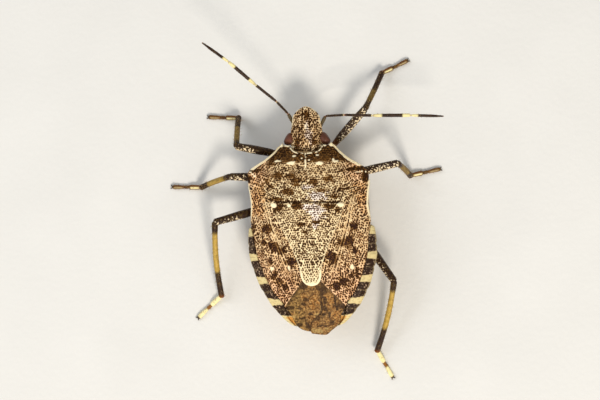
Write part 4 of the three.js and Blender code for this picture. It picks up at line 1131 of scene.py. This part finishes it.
# Length of a tube's rounded end in radii, and the number of shallow ridges round it
END_ROUNDING = 0.9
RIDGES = 4
# Bristles: where they start and end along the tube, how low they root and point, and how they differ
BRISTLE_SPAN = (0.04, 0.94)
BRISTLE_LOWEST = 0.03
BRISTLE_CLEARANCE = 0.02
BRISTLE_SCATTER = 0.25
BRISTLE_LENGTHS = (0.6, 0.7)
BRISTLE_ROOTED = 0.45
BRISTLE_RADII = (0.012, 0.002)


class Limb:
    """A round tube between two level-frame points whose girth follows its length."""

    def __init__(self, start, end, girth, bow=0.0, sweep=0.0, flat=1.0):
        self.start = np.asarray(start, float)
        self.axis = np.asarray(end, float) - self.start
        self.length = np.linalg.norm(self.axis)
        self.girth = girth if callable(girth) else through((0, girth), (1, girth))
        self.flat = flat
        self.side = np.cross(self.axis, (0, 0, 1))
        self.side /= np.linalg.norm(self.side)
        self.lift = np.cross(self.side, self.axis / self.length)
        self.bow = self.lift * bow + self.side * sweep

    def at(self, share, angle):
        """Points of the tube's skin and the way that each faces."""
        share = np.asarray(share, float)[:, None]
        angle = np.asarray(angle, float)[:, None]
        start_cap = np.clip(share * self.length / (END_ROUNDING * self.girth(0.0)), 0, 1)
        end_cap = np.clip((1 - share) * self.length / (END_ROUNDING * self.girth(1.0)), 0, 1)
        radius = self.girth(share) * np.sqrt((1 - (1 - start_cap) ** 2) * (1 - (1 - end_cap) ** 2))
        facing = np.cos(angle) * self.side + self.flat * np.sin(angle) * self.lift
        spine = self.start + self.axis * share + self.bow * np.sin(math.pi * share)
        return spine + radius * facing, facing

    def piece(self, name, around, along, marks, ridge=0.0):
        """The tube as a closed form, with marks painted by share and angle, and shallow ridges along it."""
        def place(share, angle):
            points, facing = self.at(share, angle)
            swell = ridge * self.girth(share) * np.cos(RIDGES * angle) * np.sin(math.pi * share)
            points = points + swell[:, None] * facing
            points[:, 2] = np.maximum(points[:, 2], 0)
            return from_level(points), {mark: paint(share, angle) for mark, paint in marks.items()}
        return ball(name, around, along, place)

    def bristles(self, name, count, length, seed, lean=0.9):
        """Fine hairs that stand on the tube and lean towards its end."""
        rng = np.random.default_rng(seed)
        share = BRISTLE_SPAN[0] + BRISTLE_SPAN[1] * rng.random(count)
        roots, facing = self.at(share, 2 * math.pi * rng.random(count))
        roots[:, 2] = np.maximum(roots[:, 2], BRISTLE_LOWEST)
        aims = facing + lean * self.axis / self.length + BRISTLE_SCATTER * rng.standard_normal((count, 3))
        stretches = BRISTLE_LENGTHS[0] + BRISTLE_LENGTHS[1] * rng.random(count)
        bm = bmesh.new()
        for root, aim, stretch in zip(roots, aims, stretches):
            aim = Vector(aim).normalized()
            depth = length * stretch
            aim.z = max(aim.z, -max(0.0, root[2] - BRISTLE_CLEARANCE) * MM / depth)
            middle = Vector(from_level(root)) + aim * depth * BRISTLE_ROOTED
            turn = aim.to_track_quat("Z", "Y").to_matrix().to_4x4()
            bmesh.ops.create_cone(bm, cap_ends=True, segments=3, radius1=BRISTLE_RADII[0] * MM,
                                  radius2=BRISTLE_RADII[1] * MM, depth=depth,
                                  matrix=Matrix.Translation(middle) @ turn)
        return mould(name, bm, lambda raw: (raw, {}))


def painted(part, material):
    """Gives a part its material."""
    part.data.materials.append(material)
    return part


# Where each shin turns pale and dark again, as shares of its length, and how pale it is between them
SHIN_BANDS = {"fore_left": (0.17, 0.6, 0.38), "fore_right": (0.22, 0.5, 0.28), "mid_left": (0.2, 0.7, 0.7),
              "mid_right": (0.2, 0.7, 0.42), "hind_left": (0.17, 0.65, 1), "hind_right": (0.16, 0.65, 1)}
# How thickly each thigh is specked, and from what share of its length
THIGH_SPECKS = {"fore_left": (0.24, 0.6), "fore_right": (0.3, 0.2), "mid_left": (0.34, 0.74),
                "mid_right": (0.34, 0.4), "hind_left": (0.12, 0.6), "hind_right": (0.12, 0.65)}


def leg_parts(name, joints):
    """Builds the four pieces of one leg, from the coxa to the claws."""
    limbs = bpy.context.scene.limbs
    cuticle, hair, black = leg_cuticle_once(), bristle_once(), claw_once()
    seed = sorted(LEGS).index(name) * 10
    root, hip, knee, ankle, toe = (np.array(joint, float) for joint in joints)
    root = leaned(root)[0]
    outward_side = 1 if knee[0] > 0 else -1

    coxa = Limb(root + (0, 0, COXA_RISE), hip + (hip - root) * 0.1, COXA_GIRTH)
    coxa = coxa.piece("coxa", 24, 24, {"speck": lambda *_: 0.45})
    finish(joined(f"coxa_{name}_skin", [painted(coxa, cuticle)]), "leg_cuticle", f"coxa_{name}")

    along = (knee - hip) / np.linalg.norm(knee - hip)
    thigh = Limb(hip, knee + along * KNEE_OVERLAP, FEMUR_GIRTH, bow=0.06)
    # The specks crowd on the side that faces the tail
    rear = np.sign(thigh.side[1])
    amount, start = THIGH_SPECKS[name]
    specks = {"speck": lambda share, angle: (amount + 0.24 * rear * np.cos(angle)
                                             - 0.3 * step(share, start + 0.06, start - 0.06)),
              "rust": lambda share, _: 0.6 * step(share, 0.3, 0.1)}
    parts = [painted(thigh.piece("thigh", 28, 84, specks, 0.02), cuticle),
             painted(thigh.bristles("down", limbs.bristles // 2, limbs.bristle * 0.5, seed), hair)]
    finish(joined(f"femur_{name}_skin", parts), "leg_cuticle", f"femur_{name}")

    along = (ankle - knee) / np.linalg.norm(ankle - knee)
    dark_until, pale_until, strength = SHIN_BANDS[name]
    shin = Limb(knee - along * KNEE_OVERLAP * 0.8, ankle + along * ANKLE_OVERLAP, TIBIA_GIRTH, bow=0.04)
    sweep = SHIN_SWEEP[name.split("_")[0]] * outward_side * np.sign(shin.side[0])
    shin.bow = shin.bow + shin.side * sweep
    band = through((0, 0.05), (dark_until - 0.05, 0), (dark_until + 0.03, strength),
                   (pale_until - 0.03, strength), (pale_until + 0.03, 0), (1, 0))
    # The pale band is painted lighter on the top of the shin and darker towards its sides: painted light from
    # above
    marks = {"pale": lambda share, angle: band(share) * (0.66 + 0.34 * np.sin(angle)),
             "rust": lambda share, _: 0.8 * step(share, 0.93, 0.99)}
    parts = [painted(shin.piece("shin", 28, 96, marks, 0.07), cuticle),
             painted(shin.bristles("bristles", limbs.bristles, limbs.bristle, seed + 1), hair)]
    finish(joined(f"tibia_{name}_skin", parts), "leg_cuticle", f"tibia_{name}")
    paint = paint_hind_foot if name.startswith("hind") else paint_other_foot
    finish(joined(f"tarsus_{name}_skin", foot_parts(ankle, toe, paint, seed, cuticle, hair, black)),
           "leg_cuticle", f"tarsus_{name}")


def paint_hind_foot(joint, share, across):
    """Cream joints with a rusty one between them and a dark last tip."""
    tip = (joint == 2) * step(share, 0.82, 0.92)
    return {"pale": 0.8 - 0.8 * tip, "light": (joint != 1) * step(share, 0.0, 0.15) * (1 - tip),
            "rust": (joint == 1) * 0.8}


def paint_other_foot(joint, share, across):
    """Brown joints with a painted highlight: a pale streak along the side that faces the tail and the key
    light.
    """
    highlight_streak = step(np.abs(across - 0.35), 0.5, 0.2) * step(share, 0.1, 0.3) * step(share, 0.92, 0.75)
    return {"pale": 0.12, "light": (1.0, 0.0, 0.3)[joint] * highlight_streak,
            "rust": (0.45, 0.2, 0.35)[joint] * step(share, 1.0, 0.8)}


def foot_parts(ankle, toe, paint, seed, cuticle, hair, black):
    """Three joints, two claws and two pads, lying on the floor."""
    length = bpy.context.scene.limbs.bristle
    sole = np.array([0, 0, TARSUS_HEIGHT])
    ankle = ankle * (1, 1, 0) + sole
    toe = toe * (1, 1, 0) + sole
    parts = []
    for i, (start, end, first, last) in enumerate(TARSUS_JOINTS):
        lift = (0, 0, ANKLE_LIFT * (i == 0))
        joint = Limb(ankle + (toe - ankle) * start + lift, ankle + (toe - ankle) * end,
                     through((0, first), (0.75, last), (1, last * 0.8)), flat=0.9)
        rear = np.sign(joint.side[1])

        def shade(mark, i=i, rear=rear):
            return lambda share, angle: paint(i, share, rear * np.cos(angle))[mark]

        marks = {mark: shade(mark) for mark in ("pale", "light", "rust")}
        parts.append(painted(joint.piece("joint", 24, 30, marks), cuticle))
        parts.append(painted(joint.bristles("down", 26, length * 0.6, seed + 3 + i), hair))
    forward = (toe - ankle) / np.linalg.norm(toe - ankle)
    across = np.cross(forward, (0, 0, 1))
    base = ankle + (toe - ankle) * 0.9
    for turn in (1, -1):
        aim = forward * math.cos(CLAW["splay"]) + turn * across * math.sin(CLAW["splay"])
        end = base + aim * CLAW["length"] + (0, 0, 0.03 - TARSUS_HEIGHT)
        claw = Limb(base, end, through((0, CLAW["girth"]), (0.6, 0.035), (1, 0.012)), bow=0.05)
        parts.append(painted(claw.piece("claw", 12, 20, {}), black))
        pad = Limb(base, base + aim * 0.17 - (0, 0, 0.08), 0.045, flat=0.6)
        parts.append(painted(pad.piece("pad", 12, 12, {"pale": lambda *_: 0.6}), cuticle))
    return parts


def once(make):
    """Makes a material on the first call, and returns the same one afterwards."""
    kept = []

    def given():
        if not kept:
            kept.append(make())
        return kept[0]
    return given


leg_cuticle_once = once(leg_cuticle)
bristle_once = once(bristle_hair)
claw_once = once(dark_claw)
belly_once = once(belly_cuticle)
feeler_once = once(feeler_cuticle)
back_once = once(lambda: punctate_cuticle("Pronotum, pitted marbled chitin", 0.4))
shield_once = once(lambda: punctate_cuticle("Scutellum, pitted straw chitin", 0.25))
wing_once = once(lambda: punctate_cuticle("Corium, pitted ruddy wing chitin", 0.5, linear("#38201a"),
                                          russet=0.65))
head_once = once(lambda: punctate_cuticle("Head, rough pitted chitin", 0.4, linear("#301a0a")))

FEELER_RINGS = (
    through((0, 0.15), (1, 0.05)),
    through((0, 0), (0.96, 0), (0.98, 0.6), (1, 0.6)),
    through((0, 0), (0.95, 0), (0.97, 0.9), (1, 0.9)),
    through((0, 0.3), (0.08, 0.9), (0.22, 1), (0.27, 0), (0.76, 0), (0.81, 1), (0.98, 0.95), (1, 0.3)),
    through((0, 0.3), (0.04, 1), (0.18, 1), (0.24, 0), (1, 0)),
)
FEELER_JOINTS = through((0, 1), (0.03, 0.8), (0.06, 0), (0.96, 0), (0.98, 0.6), (1, 0.9))


class SHIELDBUG_OT_head(bpy.types.Operator):
    """Makes the head with its cheek grooves, feeler sockets and ocelli"""

    bl_idname = "shieldbug.head"
    bl_label = "Head"

    def execute(self, context):
        parts = [painted(ball("head", 300, 260, head_place), head_once())]
        lens = ocellus_lens()
        for _, side in SIDES:
            at = np.array([side * OCELLUS["x"], OCELLUS["y"], HEAD_TOP(OCELLUS["y"]) - 0.08])
            parts.append(painted(self.bead(at), lens))
            root = leaned((side * FEELER_ROOT[0], *FEELER_ROOT[1:]))[0]
            stump = leaned((side * FEELER_STUMP[0], *FEELER_STUMP[1:]))[0]
            socket = Limb(stump, root + (root - stump) * 0.1, through((0, 0.27), (0.7, 0.24), (1, 0.2)))
            marks = {"dark": lambda *_: 0.6}
            parts.append(painted(socket.piece("socket", 24, 24, marks), head_once()))
        finish(joined("head_skin", parts), "back_cuticle", "head")
        return {"FINISHED"}

    def bead(self, at):
        """One ocellus."""
        def place(share, angle):
            return from_body(OCELLUS["radius"] * sphere(share, angle) + at), {}
        return ball("ocellus", 20, 14, place)


class SHIELDBUG_OT_eyes(bpy.types.Operator):
    """Makes the two compound eyes"""

    bl_idname = "shieldbug.eyes"
    bl_label = "Eyes"

    def execute(self, context):
        cornea = eye_cornea()
        for name, side in SIDES:
            def place(share, angle, side=side):
                unit = sphere(share, angle)
                centre = np.array(EYE["centre"]) * (side, 1, 1)
                points = unit * EYE["radii"]
                points[:, 0] *= 1 - EYE["taper"] * np.maximum(-unit[:, 1], 0)
                points[:, 1] += EYE["sweep"] * unit[:, 0] ** 2
                points += centre
                return from_body(points), {}
            finish(painted(ball(f"eye_{name}_cornea", 72, 48, place), cornea), "eye", f"eye_{name}")
        return {"FINISHED"}


class SHIELDBUG_OT_pronotum(bpy.types.Operator):
    """Makes the pronotum with its pale rim, calli and punctures"""

    bl_idname = "shieldbug.pronotum"
    bl_label = "Pronotum"

    def execute(self, context):
        plate = painted(sheet("pronotum_plate", 300, 150, pronotum_place, 0.12), back_once())
        finish(plate, "back_cuticle", "pronotum")
        return {"FINISHED"}


class SHIELDBUG_OT_scutellum(bpy.types.Operator):
    """Makes the scutellum with its two calli and pale tip"""

    bl_idname = "shieldbug.scutellum"
    bl_label = "Scutellum"

    def execute(self, context):
        plate = painted(sheet("scutellum_plate", 170, 220, scutellum_place, 0.12), shield_once())
        finish(plate, "back_cuticle", "scutellum")
        return {"FINISHED"}


class SHIELDBUG_OT_wings(bpy.types.Operator):
    """Makes both forewings: the stiff coria and the thin membranes that overlap behind them"""

    bl_idname = "shieldbug.wings"
    bl_label = "Wings"

    def execute(self, context):
        thin = membrane_cuticle()
        for name, side in SIDES:
            wing = sheet(f"corium_{name}_plate", 130, 270, corium_place(side, name), 0.1)
            finish(painted(wing, wing_once()), "back_cuticle", f"corium_{name}")
        # The last number of each wing is the strength of its painted shadow along the inner edge
        for name, edges, *build in (("left", UPPER_MEMBRANE, 0.07, (0.16, 0.36, 0.56, 0.76), 0.95),
                                    ("right", LOWER_MEMBRANE, 0.13, (0.5, 0.66, 0.82, 0.92), 0)):
            web = sheet(f"membrane_{name}_web", 110, 120, membrane_place(edges, *build), 0.03)
            finish(painted(web, thin), "membrane", f"membrane_{name}")
        return {"FINISHED"}


class SHIELDBUG_OT_trunk(bpy.types.Operator):
    """Makes the thorax and the abdomen with its banded rim"""

    bl_idname = "shieldbug.trunk"
    bl_label = "Thorax and abdomen"

    def execute(self, context):
        breast = trunk_place(THORAX, 0.12, 0, lambda x, y: UNDER_PRONOTUM, 1.35, paint_thorax)
        finish(painted(ball("thorax_shell", 200, 150, breast), belly_once()), "belly_cuticle", "thorax")
        belly = trunk_place(ABDOMEN, 0, 0.05, under_wings, 2, paint_abdomen)
        finish(painted(ball("abdomen_shell", 256, 230, belly), belly_once()), "belly_cuticle", "abdomen")
        return {"FINISHED"}


class SHIELDBUG_OT_legs(bpy.types.Operator):
    """Makes the six legs, from the coxae to the claws"""

    bl_idname = "shieldbug.legs"
    bl_label = "Legs"

    def execute(self, context):
        for name, joints in LEGS.items():
            leg_parts(name, joints)
        return {"FINISHED"}


class SHIELDBUG_OT_feelers(bpy.types.Operator):
    """Makes the two ringed feelers of five segments"""

    bl_idname = "shieldbug.feelers"
    bl_label = "Feelers"

    def execute(self, context):
        down = context.scene.limbs.bristle * 0.35
        for name, side in SIDES:
            root = leaned((side * FEELER_ROOT[0], *FEELER_ROOT[1:]))[0]
            joints = [root, *(np.array(joint) for joint in FEELERS[name])]
            for i, girth in enumerate(FEELER_GIRTHS):
                shape = through((0, girth * 0.7), (0.15, girth * 0.9), (0.8, girth), (1, girth * 0.85))
                if i == 4:
                    shape = through((0, girth * 0.7), (0.2, girth), (0.6, girth), (1, girth * 0.4))
                segment = Limb(joints[i], joints[i + 1], shape, bow=0.03)
                marks = {"pale": lambda share, _, ring=FEELER_RINGS[i]: ring(share),
                         "joint": lambda share, _: FEELER_JOINTS(share)}
                parts = [painted(segment.piece("segment", 20, 64, marks), feeler_once()),
                         painted(segment.bristles("down", 60, down, 300 + 10 * i + side), bristle_once())]
                finish(joined(f"feeler_{name}_{i + 1}", parts), "feeler_cuticle", f"antenna_{name}_{i + 1}")
        return {"FINISHED"}


class SHIELDBUG_OT_beak(bpy.types.Operator):
    """Makes the beak that lies along the breast between the legs"""

    bl_idname = "shieldbug.beak"
    bl_label = "Beak"

    def execute(self, context):
        joints = leaned(BEAK_JOINTS)
        for i, girth in enumerate(BEAK_GIRTHS):
            last = i == len(BEAK_GIRTHS) - 1
            shape = through((0, girth), (0.6, girth * 0.85), (1, girth * (0.45 if last else 0.8)))
            along = (joints[i + 1] - joints[i]) / np.linalg.norm(joints[i + 1] - joints[i])
            segment = Limb(joints[i] - along * BEAK_OVERLAP * (i > 0), joints[i + 1], shape)
            marks = {"pale": lambda *_: 0.8}
            skin = claw_once() if last else leg_cuticle_once()
            finish(painted(segment.piece(f"beak_{i + 1}_skin", 20, 40, marks), skin), "leg_cuticle",
                   f"beak_{i + 1}")
        return {"FINISHED"}


# How far the camera is turned about the upright, and the point of the floor below it
FRAME_TURN = math.radians(3.3)
FRAME_CENTRE = (0.66, 6.456)
FLOOR_HALF = 1.5
FLOOR_SHADE = 0.93
DAYLIGHT = ("#fbfaf6", 0.49)
# Each lamp's place and width in metres, its share of the key's power, and its tint
LAMPS = {"key": ((-0.05, 0.2, 0.24), 0.09, 1, "#fff6ea"), "fill": ((0.22, -0.1, 0.2), 0.2, 0.45, "#f2f6ff")}
CLIP_RANGE = (0.01, 10)


class SHIELDBUG_OT_stage(bpy.types.Operator):
    """Makes the floor, the soft lights and the camera that looks straight down"""

    bl_idname = "shieldbug.stage"
    bl_label = "Stage"

    def execute(self, context):
        scene = context.scene
        bm = bmesh.new()
        bmesh.ops.create_grid(bm, x_segments=1, y_segments=1, size=FLOOR_HALF)
        floor = mould("floor", bm, lambda raw: (raw, {}))
        made = Finish("Floor, matt pale card", roughness=0.85, ior=1.45)
        # Card fibres cloud the floor over a few millimetres
        shade = [channel * FLOOR_SHADE for channel in scene.stage.floor[:3]] + [1.0]
        colour = made.coats(scene.stage.floor, (made.clouds(6, 0.0, 0.5), shade))
        painted(floor, made.done(colour, made.clouds(0.4), 0.01))
        self.light_and_camera(scene)
        return {"FINISHED"}

    def light_and_camera(self, scene):
        scene.view_settings.view_transform = "Standard"
        world = bpy.data.worlds.new("Studio")
        world.use_nodes = True
        sky = world.node_tree.nodes["Background"].inputs
        sky["Color"].default_value = linear(DAYLIGHT[0])
        sky["Strength"].default_value = DAYLIGHT[1]
        scene.world = world
        for name, (at, size, share, tint) in LAMPS.items():
            light = bpy.data.lights.new(name, "AREA")
            light.size = size
            light.energy = scene.stage.key * share
            light.color = linear(tint)[:3]
            lamp = bpy.data.objects.new(name, light)
            lamp.location = at
            lamp.rotation_euler = (-Vector(at)).to_track_quat("-Z", "Y").to_euler()
            scene.collection.objects.link(lamp)
        lens = bpy.data.cameras.new("camera")
        lens.lens = scene.stage.lens
        lens.clip_start, lens.clip_end = CLIP_RANGE
        camera = bpy.data.objects.new("camera", lens)
        right = Vector((-math.cos(FRAME_TURN), math.sin(FRAME_TURN), 0))
        up = Vector((-math.sin(FRAME_TURN), -math.cos(FRAME_TURN), 0))
        turn = Matrix((right, up, right.cross(up))).transposed()
        centre = Vector(from_level((*FRAME_CENTRE, 0)))
        camera.matrix_world = Matrix.Translation(centre + Vector((0, 0, scene.stage.height))) @ turn.to_4x4()
        scene.collection.objects.link(camera)
        scene.camera = camera


OPERATORS = (SHIELDBUG_OT_stage, SHIELDBUG_OT_head, SHIELDBUG_OT_eyes, SHIELDBUG_OT_pronotum,
             SHIELDBUG_OT_scutellum, SHIELDBUG_OT_wings, SHIELDBUG_OT_trunk, SHIELDBUG_OT_legs,
             SHIELDBUG_OT_feelers, SHIELDBUG_OT_beak)
SETTINGS = {"cuticle": CuticleSettings, "limbs": LimbSettings, "stage": StageSettings}


class SHIELDBUG_PT_pieces(bpy.types.Panel):
    """Lists the pieces and their settings"""

    bl_label = "Shield Bug"
    bl_idname = "SHIELDBUG_PT_pieces"
    bl_space_type = "VIEW_3D"
    bl_region_type = "UI"
    bl_category = "Shield Bug"

    def draw(self, context):
        for name, group in SETTINGS.items():
            column = self.layout.column(align=True)
            for key in group.__annotations__:
                column.prop(getattr(context.scene, name), key)
        for operator in OPERATORS:
            self.layout.operator(operator.bl_idname)


def register():
    for kind in (*SETTINGS.values(), *OPERATORS, SHIELDBUG_PT_pieces):
        bpy.utils.register_class(kind)
    for name, group in SETTINGS.items():
        setattr(bpy.types.Scene, name, bpy.props.PointerProperty(type=group))


def unregister():
    for name in SETTINGS:
        delattr(bpy.types.Scene, name)
    for kind in reversed((*SETTINGS.values(), *OPERATORS, SHIELDBUG_PT_pieces)):
        bpy.utils.unregister_class(kind)


def main():
    register()
    for operator in OPERATORS:
        getattr(bpy.ops.shieldbug, operator.bl_idname.split(".")[1])()


if __name__ == "__main__":
    main()
